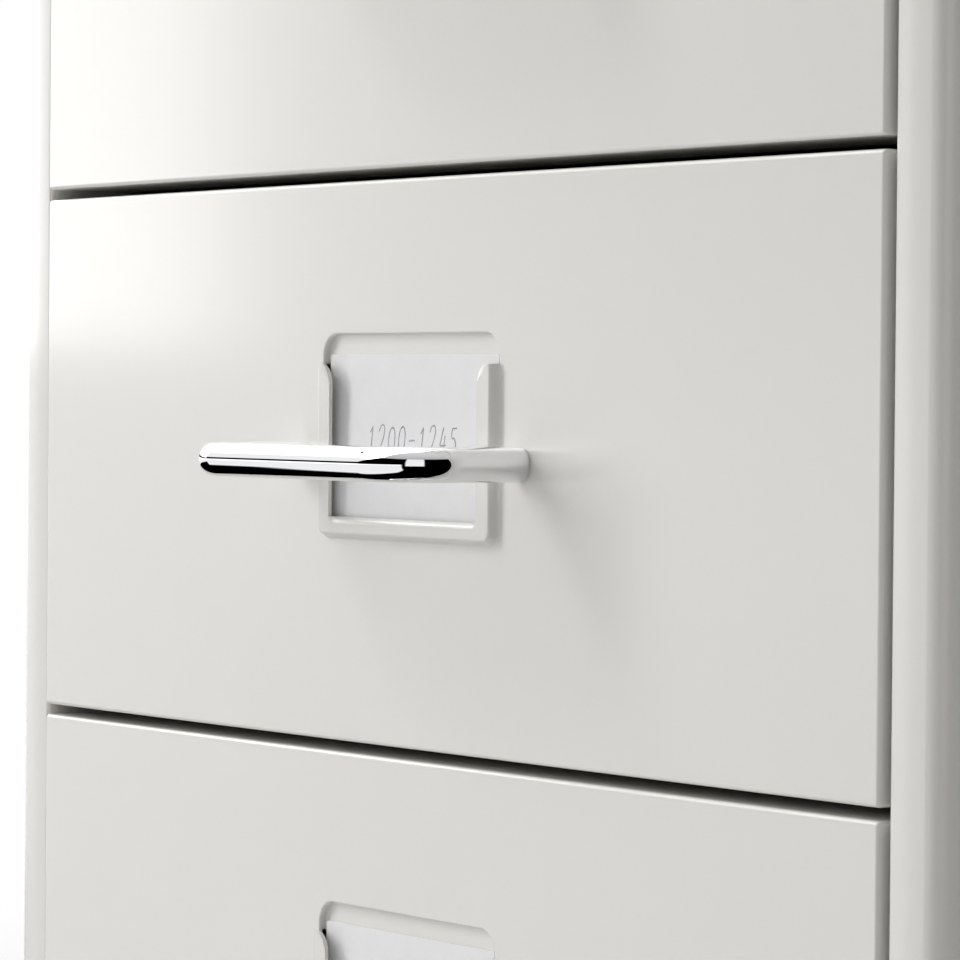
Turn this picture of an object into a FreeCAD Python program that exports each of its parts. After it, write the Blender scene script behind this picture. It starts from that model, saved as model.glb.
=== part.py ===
import FreeCAD, Part
import math
import os

# A small sheet-steel cabinet with six drawers, standing on four swivel castors.
# Millimetres. The origin is the middle of the footprint on the floor, +Z is up and
# the drawer fronts face -Y. Left is -X and right is +X. Drawers count from the top.

# Overall size
WIDTH = 280.0
DEPTH = 430.0  # from the front of the handles to the screw heads at the back
HEIGHT = 690.0
DRAWER_COUNT = 6
CASTOR_HEIGHT = 52.0  # floor to the underside of the cabinet
BASE_HEIGHT = 16.0  # bottom pan, seen below the lowest drawer
TOP_HEIGHT = 14.0  # top pan, seen above the highest drawer

# Gaps and clearances
FRONT_GAP = 2.0  # between one drawer front and the next
SIDE_GAP = 1.0  # between a drawer front and the posts
FRONT_PROUD = 1.2  # drawer fronts stand this far in front of the posts' inner edges
SLIDE_GAP = 0.3  # between pieces that slide or swivel past each other
SHAFT_GAP = 0.05  # radial, round a shaft that turns
FIT_GAP = 0.05  # radial, round a pin or screw that stays put
OVERRUN = 1.0  # how far a cutting solid runs past what it cuts

# Carcass sheet: side panels with their front posts, top, bottom and back
CARCASS_SHEET = 0.8
CARCASS_BEND = 1.0  # inside radius
POST_WIDTH = 12.0
POST_RETURN = 18.0  # inner wall of the post, front to back
POST_CREST_INSET = 4.5  # crest of the post's swollen front to its inner edge
POST_CROWN = 0.9  # crest in front of the inner edge, before it is rounded
POST_CORNER_SETBACK = 0.6  # outer corner behind the inner edge
POST_FOLD_RADIUS = 0.9  # outside radius of the fold beside the drawers
POST_CORNER_RADIUS = 4.5  # outside radius of the corner to the side of the cabinet
REAR_FLANGE = 14.0
PAN_LIP = 12.0  # turned-in rim of the top and bottom pans
PAN_EDGE_RADIUS = 2.0
BACK_MARGIN = 3.0  # back panel's edge to the outline of the cabinet

# Screws of the back panel
BACK_SCREWS_PER_SIDE = 4
BACK_SCREW_RADIUS = 1.7
BACK_SCREW_LENGTH = 6.0
BACK_SCREW_HEAD_RADIUS = 3.5
BACK_SCREW_HEAD_HEIGHT = 2.0
BACK_SCREW_END_DISTANCE = 40.0  # first and last screw to the ends of the side panels

# Drawer front: a pan with folded returns
FRONT_SHEET = 0.7
FRONT_RETURN = 18.0
FRONT_FOLD_RADIUS = 0.8

# Label pocket pressed in the drawer front. A U-shaped strap stands out of the sheet, and
# inside it a tongue is set back. Heights are above or below the middle of the front.
STRAP_WIDTH = 54.6
STRAP_BOTTOM = 13.5  # below the middle
STRAP_LEG_TOP = 17.3  # above the middle
STRAP_RISE = 1.6
STRAP_DRAFT = 0.8  # how far its walls lean in
STRAP_CORNER_RADIUS = 2.5
STRAP_CREST_RADIUS = 0.6
STRAP_LEG_WIDTH = 4.5
LABEL_OPENING_BOTTOM = 9.7  # below the middle
LEG_TOP_RADIUS = 4.0
ROLLED_EDGE_RADIUS = 1.3  # lower edge of the opening, curled in towards the card
RECESS_SIDE_STEP = 0.2  # recess's side inside the strap's
RECESS_TOP = 22.6  # above the middle
RECESS_DEPTH = 1.2
RECESS_CORNER_RADIUS = 4.1
SLIT = 0.3  # cut between the tongue and the strap

# Label card
CARD_SIDE_GAP = 1.1  # card to the side of the recess
CARD_TOP = 19.0  # above the middle
CARD_THICKNESS = 0.35
CARD_GAP = 0.05

# Handle: a round bar bent to a bow, whose legs stand beside the strap
HANDLE_BAR = 6.0
HANDLE_STRAP_GAP = 3.2
HANDLE_PROJECTION = 26.0
HANDLE_BEND_RADIUS = 10.0  # to the middle of the bar
HANDLE_RAISE = 0.4  # above the middle of the drawer front

# Handle screws, driven from inside the drawer
HANDLE_SCREW_RADIUS = 1.95
HANDLE_SCREW_LENGTH = 8.0
HANDLE_SCREW_HEAD_WIDTH = 7.0  # across the flats of the hexagon
HANDLE_SCREW_HEAD_HEIGHT = 2.8
HANDLE_BORE_DEPTH = 10.0
SCREWDRIVER_HOLE_RADIUS = 5.0

# Drawer tray, 240 wide, 335 deep and 76 high inside, which pulls out by 280
TRAY_SHEET = 0.7
TRAY_BEND = 0.8  # inside radius
TRAY_RAISE = 5.0  # tray's underside above the lower edge of the front
TRAY_HEADROOM = 17.3  # tray's rim below the upper edge of the front
TRAY_REAR_SPACE = 47.5  # behind the tray, to the flanges of the side panels
RIM_WIDTH = 5.5
RIM_DROP = 4.5
RIM_SIDE_GAP = 1.8  # rim to the post that it passes
STOP_TAB_LENGTH = 8.0
STOP_TAB_TO_BACK = 46.2  # stop tab to the back of the tray
STOP_TAB_SIDE_GAP = 0.5  # stop tab to the web of the channel, which guides it

# Runners, a channel on each side panel for each drawer
RUNNER_SHEET = 0.8
RUNNER_INNER_GAP = 1.5  # channel's edges to the wall of the tray

# Castors
STEM_RADIUS = 4.0
STEM_REACH = 9.0  # above the underside of the cabinet
NUT_WIDTH = 13.0  # across the flats
NUT_HEIGHT = 6.5
SWIVEL_CUP_RADIUS = 14.0
SWIVEL_CUP_HEIGHT = 3.0
STEM_HEAD_RADIUS = 6.0
STEM_HEAD_HEIGHT = 2.0
FORK_SHEET = 2.2
FORK_NOSE = 12.0  # from the swivel axis to the front edge of the fork
FORK_TOP_CORNER_RADIUS = 3.0
FORK_CHEEK_DROP = 8.0  # depth of the cheek at the fork's nose
AXLE_BOSS_RADIUS = 7.0
CASTOR_TRAIL = 18.0
WHEEL_RADIUS = 20.0
WHEEL_WIDTH = 18.0
WHEEL_CHAMFER = 1.5
WHEEL_SIDE_GAP = 0.8
AXLE_RADIUS = 3.0
AXLE_OVERHANG = 1.5
CASTOR_SIDE_INSET = 28.0  # swivel axis to the side of the cabinet
CASTOR_FRONT_INSET = 38.0  # swivel axis to the front of the bottom pan
CASTOR_REAR_INSET = 43.0

# Places worked out from the sizes above
HANDLE_FRONT_Y = -DEPTH / 2
FACE_Y = HANDLE_FRONT_Y + HANDLE_PROJECTION
POST_EDGE_Y = FACE_Y + FRONT_PROUD
POST_BACK_Y = POST_EDGE_Y + POST_RETURN
BACK_Y = DEPTH / 2 - BACK_SCREW_HEAD_HEIGHT
CARCASS_BACK_Y = BACK_Y - CARCASS_SHEET
HALF_WIDTH = WIDTH / 2
SIDE_INNER_X = HALF_WIDTH - CARCASS_SHEET
POST_INNER_X = HALF_WIDTH - POST_WIDTH
CARCASS_BOTTOM_Z = CASTOR_HEIGHT
OPENING_BOTTOM_Z = CARCASS_BOTTOM_Z + BASE_HEIGHT
OPENING_TOP_Z = HEIGHT - TOP_HEIGHT
DRAWER_PITCH = (OPENING_TOP_Z - OPENING_BOTTOM_Z - FRONT_GAP) / DRAWER_COUNT
FRONT_WIDTH = 2 * (POST_INNER_X - SIDE_GAP)
FRONT_HEIGHT = DRAWER_PITCH - FRONT_GAP

LABEL_OPENING_WIDTH = STRAP_WIDTH - 2 * STRAP_LEG_WIDTH
RECESS_WIDTH = STRAP_WIDTH - 2 * RECESS_SIDE_STEP
CARD_WIDTH = RECESS_WIDTH - 2 * CARD_SIDE_GAP
HANDLE_LEG_SPACING = STRAP_WIDTH + 2 * HANDLE_STRAP_GAP + HANDLE_BAR

TRAY_FRONT_Y = FACE_Y + FRONT_RETURN
TRAY_BACK_Y = CARCASS_BACK_Y - TRAY_REAR_SPACE
TRAY_LENGTH = TRAY_BACK_Y - TRAY_FRONT_Y
RIM_X = POST_INNER_X - RIM_SIDE_GAP
TRAY_OUTER_X = RIM_X - RIM_WIDTH
TRAY_INNER_X = TRAY_OUTER_X - TRAY_SHEET
TRAY_BOTTOM = -FRONT_HEIGHT / 2 + TRAY_RAISE  # from the middle of the front
RIM_TOP = FRONT_HEIGHT / 2 - TRAY_HEADROOM
RIM_BOTTOM = RIM_TOP - RIM_DROP
STOP_TAB_Y = TRAY_BACK_Y - STOP_TAB_TO_BACK - STOP_TAB_LENGTH

RUNNER_FRONT_Y = POST_BACK_Y + SLIDE_GAP
RUNNER_BACK_Y = TRAY_BACK_Y + SLIDE_GAP + RUNNER_SHEET
RUNNER_INNER_X = TRAY_OUTER_X + RUNNER_INNER_GAP
RUNNER_WEB_X = SIDE_INNER_X - RUNNER_SHEET
STOP_TAB_X = RUNNER_WEB_X - STOP_TAB_SIDE_GAP

AXLE_Z = WHEEL_RADIUS
CUP_BOTTOM_Z = CARCASS_BOTTOM_Z - SWIVEL_CUP_HEIGHT
FORK_TOP_Z = CUP_BOTTOM_Z - SLIDE_GAP
FORK_INNER_WIDTH = WHEEL_WIDTH + 2 * WHEEL_SIDE_GAP
FORK_WIDTH = FORK_INNER_WIDTH + 2 * FORK_SHEET
AXLE_LENGTH = FORK_WIDTH + 2 * AXLE_OVERHANG

CROWN_SHARE = 0.98  # of the largest radius that fits between the post's fold and its corner

X_AXIS = FreeCAD.Vector(1, 0, 0)
Y_AXIS = FreeCAD.Vector(0, 1, 0)
Z_AXIS = FreeCAD.Vector(0, 0, 1)


def vector(x, y, z):
    return FreeCAD.Vector(x, y, z)


def block(x_low, x_high, y_low, y_high, z_low, z_high):
    size = (x_high - x_low, y_high - y_low, z_high - z_low)
    return Part.makeBox(*size, vector(x_low, y_low, z_low))


def mirrored(shape):
    """The same piece on the other side of the cabinet."""
    return shape.mirror(vector(0, 0, 0), X_AXIS)


def rounded_wire(points, radii, place):
    """A closed outline whose corners are rounded by tangent arcs. place turns its two
    numbers into a point in space."""
    count = len(points)
    starts = []
    ends = []
    middles = []
    for i in range(count):
        before, here, after = points[i - 1], points[i], points[(i + 1) % count]
        to_before = unit(here, before)
        to_after = unit(here, after)
        half_angle = math.acos(dot(to_before, to_after)) / 2
        reach = radii[i] / math.tan(half_angle)
        starts.append(along(here, to_before, reach))
        ends.append(along(here, to_after, reach))
        inward = unit((0, 0), (to_before[0] + to_after[0], to_before[1] + to_after[1]))
        middles.append(along(here, inward, radii[i] / math.sin(half_angle) - radii[i]))
    edges = []
    for i in range(count):
        if radii[i] > 0:
            edges.append(Part.Arc(place(*starts[i]), place(*middles[i]), place(*ends[i])).toShape())
        edges.append(Part.makeLine(place(*ends[i]), place(*starts[(i + 1) % count])))
    return Part.Wire(edges)


def unit(start, end):
    length = math.hypot(end[0] - start[0], end[1] - start[1])
    return ((end[0] - start[0]) / length, (end[1] - start[1]) / length)


def dot(a, b):
    return a[0] * b[0] + a[1] * b[1]


def along(start, direction, distance):
    return (start[0] + direction[0] * distance, start[1] + direction[1] * distance)


def prism(points, radii, place, travel):
    """The solid that a rounded outline sweeps along travel."""
    return Part.Face(rounded_wire(points, radii, place)).extrude(travel)


def bent_sheet_outline(path, thickness, radii):
    """Outline of a sheet bent along path, with the thickness laid to the left of the
    path. radii gives the inside radius at each inner point of the path."""
    count = len(path)
    directions = [unit(path[i], path[i + 1]) for i in range(count - 1)]
    other_side = []
    path_radii = [0]
    other_radii = [0]
    for i in range(count):
        before = directions[max(i - 1, 0)]
        after = directions[min(i, count - 2)]
        normal = unit((0, 0), (-before[1] - after[1], before[0] + after[0]))
        lean = dot(normal, (-after[1], after[0]))
        other_side.append(along(path[i], normal, thickness / lean))
        if 0 < i < count - 1:
            turns_left = before[0] * after[1] - before[1] * after[0] > 0
            inside, outside = radii[i - 1], radii[i - 1] + thickness
            path_radii.append(outside if turns_left else inside)
            other_radii.append(inside if turns_left else outside)
    path_radii.append(0)
    other_radii.append(0)
    return path + other_side[::-1], path_radii + other_radii[::-1]


def in_plan(z):
    return lambda x, y: vector(x, y, z)


def in_front_view(y):
    return lambda x, z: vector(x, y, z)


def in_side_view(x):
    return lambda y, z: vector(x, y, z)


def edges_where(shape, test):
    """The edges of a shape whose ends all pass a test."""
    return [edge for edge in shape.Edges if all(test(end) for end in edge.Vertexes)]


def hexagon(width, height, place, axis):
    """A hexagonal prism, width across its flats."""
    corner = width / 2 / math.cos(math.pi / 6)
    turns = [math.pi / 3 * i for i in range(6)]
    points = [(corner * math.cos(a), corner * math.sin(a)) for a in turns]
    return prism(points, [0] * len(points), place, axis * height)


def drawer_middle_z(number):
    """Height of the middle of a drawer front. Drawer 1 is the highest."""
    highest = OPENING_TOP_Z - FRONT_GAP - FRONT_HEIGHT / 2
    return highest - (number - 1) * DRAWER_PITCH


# Carcass

def back_screw_heights():
    first = OPENING_BOTTOM_Z + BACK_SCREW_END_DISTANCE
    last = OPENING_TOP_Z - BACK_SCREW_END_DISTANCE
    step = (last - first) / (BACK_SCREWS_PER_SIDE - 1)
    return [first + i * step for i in range(BACK_SCREWS_PER_SIDE)]


def back_screw_places():
    x = HALF_WIDTH - REAR_FLANGE / 2
    return [(side * x, z) for side in (-1, 1) for z in back_screw_heights()]


def crown_radius():
    """Radius of the post's swollen front, as large as the fold and the corner beside it
    leave room for."""
    slopes = []
    legs = []
    for run, fall, radius in (
        (POST_CREST_INSET, POST_CROWN, POST_FOLD_RADIUS),
        (POST_WIDTH - POST_CREST_INSET, POST_CROWN + POST_CORNER_SETBACK, POST_CORNER_RADIUS),
    ):
        slope = math.atan2(fall, run)
        slopes.append(slope)
        legs.append(math.hypot(run, fall) - radius * math.tan((math.pi / 2 - slope) / 2))
    return min(legs) / math.tan(sum(slopes) / 2) * CROWN_SHARE


def side_panel():
    """Right-hand side panel. One sheet makes the rounded front post, the side and the
    flange at the back, and short flanges close its top and bottom."""
    path = [
        (POST_INNER_X, POST_BACK_Y),
        (POST_INNER_X, POST_EDGE_Y),
        (POST_INNER_X + POST_CREST_INSET, POST_EDGE_Y - POST_CROWN),
        (HALF_WIDTH, POST_EDGE_Y + POST_CORNER_SETBACK),
        (HALF_WIDTH, CARCASS_BACK_Y),
        (HALF_WIDTH - REAR_FLANGE, CARCASS_BACK_Y),
    ]
    outside_radii = [POST_FOLD_RADIUS, crown_radius(), POST_CORNER_RADIUS]
    radii = [radius - CARCASS_SHEET for radius in outside_radii] + [CARCASS_BEND]
    outline, corner_radii = bent_sheet_outline(path, CARCASS_SHEET, radii)
    height = OPENING_TOP_Z - OPENING_BOTTOM_Z
    panel = prism(outline, corner_radii, in_plan(OPENING_BOTTOM_Z), Z_AXIS * height)
    for z in (OPENING_BOTTOM_Z, OPENING_TOP_Z - CARCASS_SHEET):
        flange = block(
            HALF_WIDTH - PAN_LIP, SIDE_INNER_X,
            POST_BACK_Y, CARCASS_BACK_Y - CARCASS_SHEET,
            z, z + CARCASS_SHEET,
        )
        panel = panel.fuse(flange)
    for x, z in back_screw_places():
        if x > 0:
            panel = panel.cut(back_screw_hole(x, z))
    return panel.removeSplitter()


def back_screw_hole(x, z):
    radius = BACK_SCREW_RADIUS + FIT_GAP
    start = vector(x, CARCASS_BACK_Y - CARCASS_SHEET - OVERRUN, z)
    return Part.makeCylinder(radius, 2 * (CARCASS_SHEET + OVERRUN), start, Y_AXIS)


def footprint_prism(inset, front_radius, z_start, z_end):
    """The cabinet's outline in plan, set in on all sides, between two heights."""
    points = [
        (-HALF_WIDTH + inset, POST_EDGE_Y + inset),
        (HALF_WIDTH - inset, POST_EDGE_Y + inset),
        (HALF_WIDTH - inset, CARCASS_BACK_Y - inset),
        (-HALF_WIDTH + inset, CARCASS_BACK_Y - inset),
    ]
    radii = [front_radius, front_radius, 0, 0]
    return prism(points, radii, in_plan(z_start), Z_AXIS * (z_end - z_start))


def pan(floor_z, rim_z):
    """A shallow tray of sheet with a turned-in rim, open towards rim_z. The edge
    between its floor and its front wall is rounded."""
    outside = footprint_prism(0, POST_CORNER_RADIUS, floor_z, rim_z)
    front_edges = edges_where(
        outside, lambda v: abs(v.Z - floor_z) < abs(v.Z - rim_z) and v.Y < 0
    )
    outside = outside.makeFillet(PAN_EDGE_RADIUS, front_edges)
    upward = 1 if rim_z > floor_z else -1
    sheet = upward * CARCASS_SHEET
    hollow = footprint_prism(
        CARCASS_SHEET, POST_CORNER_RADIUS - CARCASS_SHEET, floor_z + sheet, rim_z - sheet
    )
    mouth = footprint_prism(PAN_LIP, 0, rim_z - 2 * sheet, rim_z + upward * OVERRUN)
    return outside.cut(hollow).cut(mouth)


def castor_places():
    x = HALF_WIDTH - CASTOR_SIDE_INSET
    front = POST_EDGE_Y + CASTOR_FRONT_INSET
    rear = CARCASS_BACK_Y - CASTOR_REAR_INSET
    return {
        "front_left": (-x, front),
        "front_right": (x, front),
        "rear_left": (-x, rear),
        "rear_right": (x, rear),
    }


def top_panel():
    return pan(HEIGHT, OPENING_TOP_Z)


def bottom_panel():
    panel = pan(CARCASS_BOTTOM_Z, OPENING_BOTTOM_Z)
    for x, y in castor_places().values():
        start = vector(x, y, CARCASS_BOTTOM_Z - OVERRUN)
        hole = Part.makeCylinder(STEM_RADIUS + FIT_GAP, CARCASS_SHEET + 2 * OVERRUN, start)
        panel = panel.cut(hole)
    return panel


def back_panel():
    panel = block(
        -HALF_WIDTH + BACK_MARGIN, HALF_WIDTH - BACK_MARGIN,
        CARCASS_BACK_Y, BACK_Y,
        CARCASS_BOTTOM_Z + BACK_MARGIN, HEIGHT - BACK_MARGIN,
    )
    for x, z in back_screw_places():
        panel = panel.cut(back_screw_hole(x, z))
    return panel


def back_screws():
    """Pan-head screws that hold the back panel to the side panels' flanges."""
    screws = []
    for x, z in back_screw_places():
        place = vector(x, BACK_Y, z)
        head = Part.makeCylinder(BACK_SCREW_HEAD_RADIUS, BACK_SCREW_HEAD_HEIGHT, place, Y_AXIS)
        shank = Part.makeCylinder(BACK_SCREW_RADIUS, BACK_SCREW_LENGTH, place, -Y_AXIS)
        screws.append(head.fuse(shank).removeSplitter())
    return screws


def runner(middle_z):
    """Right-hand channel that a drawer's rim slides in. Its back end is closed, and
    stops the drawer when it is pushed in."""
    shelf_z = middle_z + RIM_BOTTOM - SLIDE_GAP
    cover_z = middle_z + RIM_TOP + SLIDE_GAP
    path = [
        (RUNNER_INNER_X, shelf_z - RUNNER_SHEET),
        (SIDE_INNER_X, shelf_z - RUNNER_SHEET),
        (SIDE_INNER_X, cover_z + RUNNER_SHEET),
        (RUNNER_INNER_X, cover_z + RUNNER_SHEET),
    ]
    outline, radii = bent_sheet_outline(path, RUNNER_SHEET, [0, 0])
    length = RUNNER_BACK_Y - RUNNER_FRONT_Y
    channel = prism(outline, radii, in_front_view(RUNNER_FRONT_Y), Y_AXIS * length)
    end = block(
        RUNNER_INNER_X, RUNNER_WEB_X,
        RUNNER_BACK_Y - RUNNER_SHEET, RUNNER_BACK_Y,
        shelf_z, cover_z,
    )
    return channel.fuse(end).removeSplitter()


def runners(side):
    """All channels on one side of the cabinet."""
    made = [runner(drawer_middle_z(n + 1)) for n in range(DRAWER_COUNT)]
    return made if side > 0 else [mirrored(channel) for channel in made]


# Drawer front with its label pocket, round the middle of its face

def strap_block(outset, y_low, y_high):
    """The space under the pocket's strap, between two depths. Its walls lean in towards
    the front, and outset moves them outwards."""
    lean = STRAP_DRAFT / STRAP_RISE
    wires = []
    for y in (y_low, y_high):
        grow = outset + lean * y
        half = STRAP_WIDTH / 2 + grow
        points = [
            (-half, -STRAP_BOTTOM - grow),
            (half, -STRAP_BOTTOM - grow),
            (half, STRAP_LEG_TOP),
            (-half, STRAP_LEG_TOP),
        ]
        corner = STRAP_CORNER_RADIUS + grow
        wires.append(rounded_wire(points, [corner, corner, 0, 0], in_front_view(y)))
    return Part.makeLoft(wires, True, True)


def strap_outside():
    """The strap's outside, with its front edges rounded but for the ends of the legs."""
    strap = strap_block(0, -STRAP_RISE, 0)
    crest = edges_where(strap, lambda v: v.Y < -STRAP_RISE / 2)
    sides_and_bottom = [edge for edge in crest if edge.CenterOfMass.z < STRAP_LEG_TOP / 2]
    return strap.makeFillet(STRAP_CREST_RADIUS, sides_and_bottom)


def label_opening():
    """What is cut out inside the strap: its inner outline, which widens between the
    rounded tops of the legs, and the mouth of the recess above them."""
    inner = LABEL_OPENING_WIDTH / 2
    outer = inner + LEG_TOP_RADIUS
    low = STRAP_RISE + OVERRUN
    depth = low + FRONT_SHEET + OVERRUN
    between_legs = block(
        -outer, outer, -low, depth - low, -LABEL_OPENING_BOTTOM, STRAP_LEG_TOP
    )
    for side in (-1, 1):
        edges = sorted((side * inner, side * outer))
        round_z = STRAP_LEG_TOP - LEG_TOP_RADIUS
        between_legs = between_legs.cut(
            block(*edges, -low, depth - low, -LABEL_OPENING_BOTTOM, round_z)
        )
        leg_top = Part.makeCylinder(
            LEG_TOP_RADIUS, depth, vector(side * outer, -low, round_z), Y_AXIS
        )
        between_legs = between_legs.cut(leg_top)
    beside_legs = block(
        -STRAP_WIDTH / 2, STRAP_WIDTH / 2, -low, -FIT_GAP, STRAP_LEG_TOP, RECESS_TOP
    )
    return between_legs.fuse(recess_prism(0, -low, FRONT_SHEET + OVERRUN)).cut(beside_legs)


def recess_prism(outset, y_low, y_high):
    half = RECESS_WIDTH / 2 + outset
    top = RECESS_TOP + outset
    corner = RECESS_CORNER_RADIUS + outset
    points = [(-half, STRAP_LEG_TOP), (half, STRAP_LEG_TOP), (half, top), (-half, top)]
    radii = [0, 0, corner, corner]
    return prism(points, radii, in_front_view(y_low), Y_AXIS * (y_high - y_low))


def rolled_edge():
    """The lower edge of the opening, curled back towards the card."""
    half = LABEL_OPENING_WIDTH / 2
    z = -LABEL_OPENING_BOTTOM - ROLLED_EDGE_RADIUS
    y = -STRAP_RISE + ROLLED_EDGE_RADIUS
    start = vector(-half, y, z)
    outer = Part.makeCylinder(ROLLED_EDGE_RADIUS, 2 * half, start, X_AXIS)
    inner = Part.makeCylinder(ROLLED_EDGE_RADIUS - FRONT_SHEET, 2 * half, start, X_AXIS)
    quarter = block(-half, half, y - ROLLED_EDGE_RADIUS, y, z, z + ROLLED_EDGE_RADIUS)
    return outer.cut(inner).common(quarter)


def drawer_front():
    """Folded pan with the label pocket pressed in its face and holes for the handle."""
    half_width = FRONT_WIDTH / 2
    half_height = FRONT_HEIGHT / 2
    outside = block(-half_width, half_width, 0, FRONT_RETURN, -half_height, half_height)
    folds = edges_where(outside, lambda v: v.Y < FRONT_RETURN / 2)
    outside = outside.makeFillet(FRONT_FOLD_RADIUS, folds)
    inside = block(
        -half_width + FRONT_SHEET, half_width - FRONT_SHEET,
        FRONT_SHEET, FRONT_RETURN + OVERRUN,
        -half_height + FRONT_SHEET, half_height - FRONT_SHEET,
    )
    front = outside.cut(inside)

    lean = math.hypot(STRAP_DRAFT, STRAP_RISE) / STRAP_RISE
    front = front.fuse(strap_outside())
    front = front.cut(strap_block(-FRONT_SHEET * lean, -STRAP_RISE + FRONT_SHEET, FRONT_SHEET))
    front = front.cut(label_opening())
    front = front.fuse(rolled_edge())

    recess = recess_prism(FRONT_SHEET, 0, RECESS_DEPTH + FRONT_SHEET)
    recess = recess.cut(recess_prism(0, -OVERRUN, RECESS_DEPTH))
    tongue_half = LABEL_OPENING_WIDTH / 2 - SLIT
    tongue = block(
        -tongue_half, tongue_half,
        RECESS_DEPTH, RECESS_DEPTH + FRONT_SHEET,
        -LABEL_OPENING_BOTTOM + SLIT, STRAP_LEG_TOP,
    )
    front = front.fuse(recess).fuse(tongue)
    screw_hole = HANDLE_SCREW_RADIUS + FIT_GAP
    return front.cut(handle_leg_holes(screw_hole, 0, FRONT_SHEET)).removeSplitter()


def handle_leg_holes(radius, y_low, y_high):
    """Cutters in line with the legs of the handle, for a wall between two depths."""
    length = y_high - y_low + 2 * OVERRUN
    return [
        Part.makeCylinder(radius, length, vector(x, y_low - OVERRUN, HANDLE_RAISE), Y_AXIS)
        for x in (-HANDLE_LEG_SPACING / 2, HANDLE_LEG_SPACING / 2)
    ]


def label_card():
    """Paper card. It stands on the bottom wall of the strap and leans back on the floor
    of the recess."""
    foot_z = -STRAP_BOTTOM + FRONT_SHEET + SLIT
    foot_y = (FRONT_SHEET - CARD_THICKNESS) / 2
    top_y = RECESS_DEPTH - CARD_GAP - CARD_THICKNESS
    profile = [
        (foot_y, foot_z),
        (foot_y + CARD_THICKNESS, foot_z),
        (top_y + CARD_THICKNESS, CARD_TOP),
        (top_y, CARD_TOP),
    ]
    square_corners = [0] * len(profile)
    return prism(profile, square_corners, in_side_view(-CARD_WIDTH / 2), X_AXIS * CARD_WIDTH)


def handle():
    """Round bar bent to a bow, with a blind bore up each leg for its screw."""
    half = HANDLE_LEG_SPACING / 2
    reach = HANDLE_PROJECTION - HANDLE_BAR / 2
    corners = [(-half, 0), (-half, -reach), (half, -reach), (half, 0)]
    radii = [0, HANDLE_BEND_RADIUS, HANDLE_BEND_RADIUS, 0]
    line = rounded_wire(corners, radii, in_plan(HANDLE_RAISE))
    spine = Part.Wire(line.Edges[:-1])
    section = Part.makeCircle(HANDLE_BAR / 2, vector(-half, 0, HANDLE_RAISE), Y_AXIS)
    bar = spine.makePipeShell([Part.Wire(section)], True, False)
    bores = handle_leg_holes(HANDLE_SCREW_RADIUS + FIT_GAP, OVERRUN - HANDLE_BORE_DEPTH, 0)
    return bar.cut(bores)


def handle_screws():
    """Hexagon screws, driven from inside through the drawer front into the handle."""
    seat = in_front_view(FRONT_SHEET)
    head = hexagon(HANDLE_SCREW_HEAD_WIDTH, HANDLE_SCREW_HEAD_HEIGHT, seat, Y_AXIS)
    length = FRONT_SHEET + HANDLE_SCREW_LENGTH
    shank = Part.makeCylinder(HANDLE_SCREW_RADIUS, length, seat(0, 0), -Y_AXIS)
    screw = head.fuse(shank)
    half = HANDLE_LEG_SPACING / 2
    return [moved(screw, x, 0, HANDLE_RAISE) for x in (-half, half)]


def tray():
    """Drawer tray. One bent sheet makes the floor, the sides and the rims that slide in
    the runners. The back and the tall front wall close it."""
    start = FRONT_RETURN
    path = [
        (RIM_X, RIM_BOTTOM),
        (RIM_X, RIM_TOP),
        (TRAY_INNER_X, RIM_TOP),
        (TRAY_INNER_X, TRAY_BOTTOM + TRAY_SHEET),
    ]
    path = path + [(-x, z) for x, z in reversed(path)]
    radii = [0, TRAY_BEND, TRAY_BEND]
    radii = radii + radii[::-1]
    outline, corner_radii = bent_sheet_outline(path, TRAY_SHEET, radii)
    body = prism(outline, corner_radii, in_front_view(start), Y_AXIS * TRAY_LENGTH)

    end = start + TRAY_LENGTH
    back = block(
        -TRAY_INNER_X, TRAY_INNER_X, end - TRAY_SHEET, end, TRAY_BOTTOM + TRAY_SHEET, RIM_TOP
    )
    wall_x = FRONT_WIDTH / 2 - FRONT_SHEET
    wall_z = FRONT_HEIGHT / 2 - FRONT_SHEET
    front_wall = block(-wall_x, wall_x, start - TRAY_SHEET, start, -wall_z, wall_z)
    front_wall = front_wall.cut(
        handle_leg_holes(SCREWDRIVER_HOLE_RADIUS, start - TRAY_SHEET, start)
    )
    tab_y = STOP_TAB_Y - FACE_Y
    tab = block(
        RIM_X, STOP_TAB_X, tab_y, tab_y + STOP_TAB_LENGTH, RIM_BOTTOM,
        RIM_BOTTOM + RIM_DROP / 2,
    )
    return body.fuse([back, front_wall, tab, mirrored(tab)]).removeSplitter()


# Castors, round the swivel axis at floor level

def castor_stem():
    """Stem with the fixed swivel cup above the fork and the riveted head below it."""
    head_z = FORK_TOP_Z - FORK_SHEET - SLIDE_GAP - STEM_HEAD_HEIGHT
    shaft = Part.makeCylinder(
        STEM_RADIUS, CARCASS_BOTTOM_Z + STEM_REACH - head_z, vector(0, 0, head_z)
    )
    cup = Part.makeCylinder(SWIVEL_CUP_RADIUS, SWIVEL_CUP_HEIGHT, vector(0, 0, CUP_BOTTOM_Z))
    head = Part.makeCylinder(STEM_HEAD_RADIUS, STEM_HEAD_HEIGHT, vector(0, 0, head_z))
    return shaft.fuse([cup, head]).removeSplitter()


def castor_nut():
    z = CARCASS_BOTTOM_Z + CARCASS_SHEET
    nut = hexagon(NUT_WIDTH, NUT_HEIGHT, in_plan(z), Z_AXIS)
    start = vector(0, 0, z - OVERRUN)
    bore = Part.makeCylinder(STEM_RADIUS + FIT_GAP, NUT_HEIGHT + 2 * OVERRUN, start)
    return nut.cut(bore)


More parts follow.
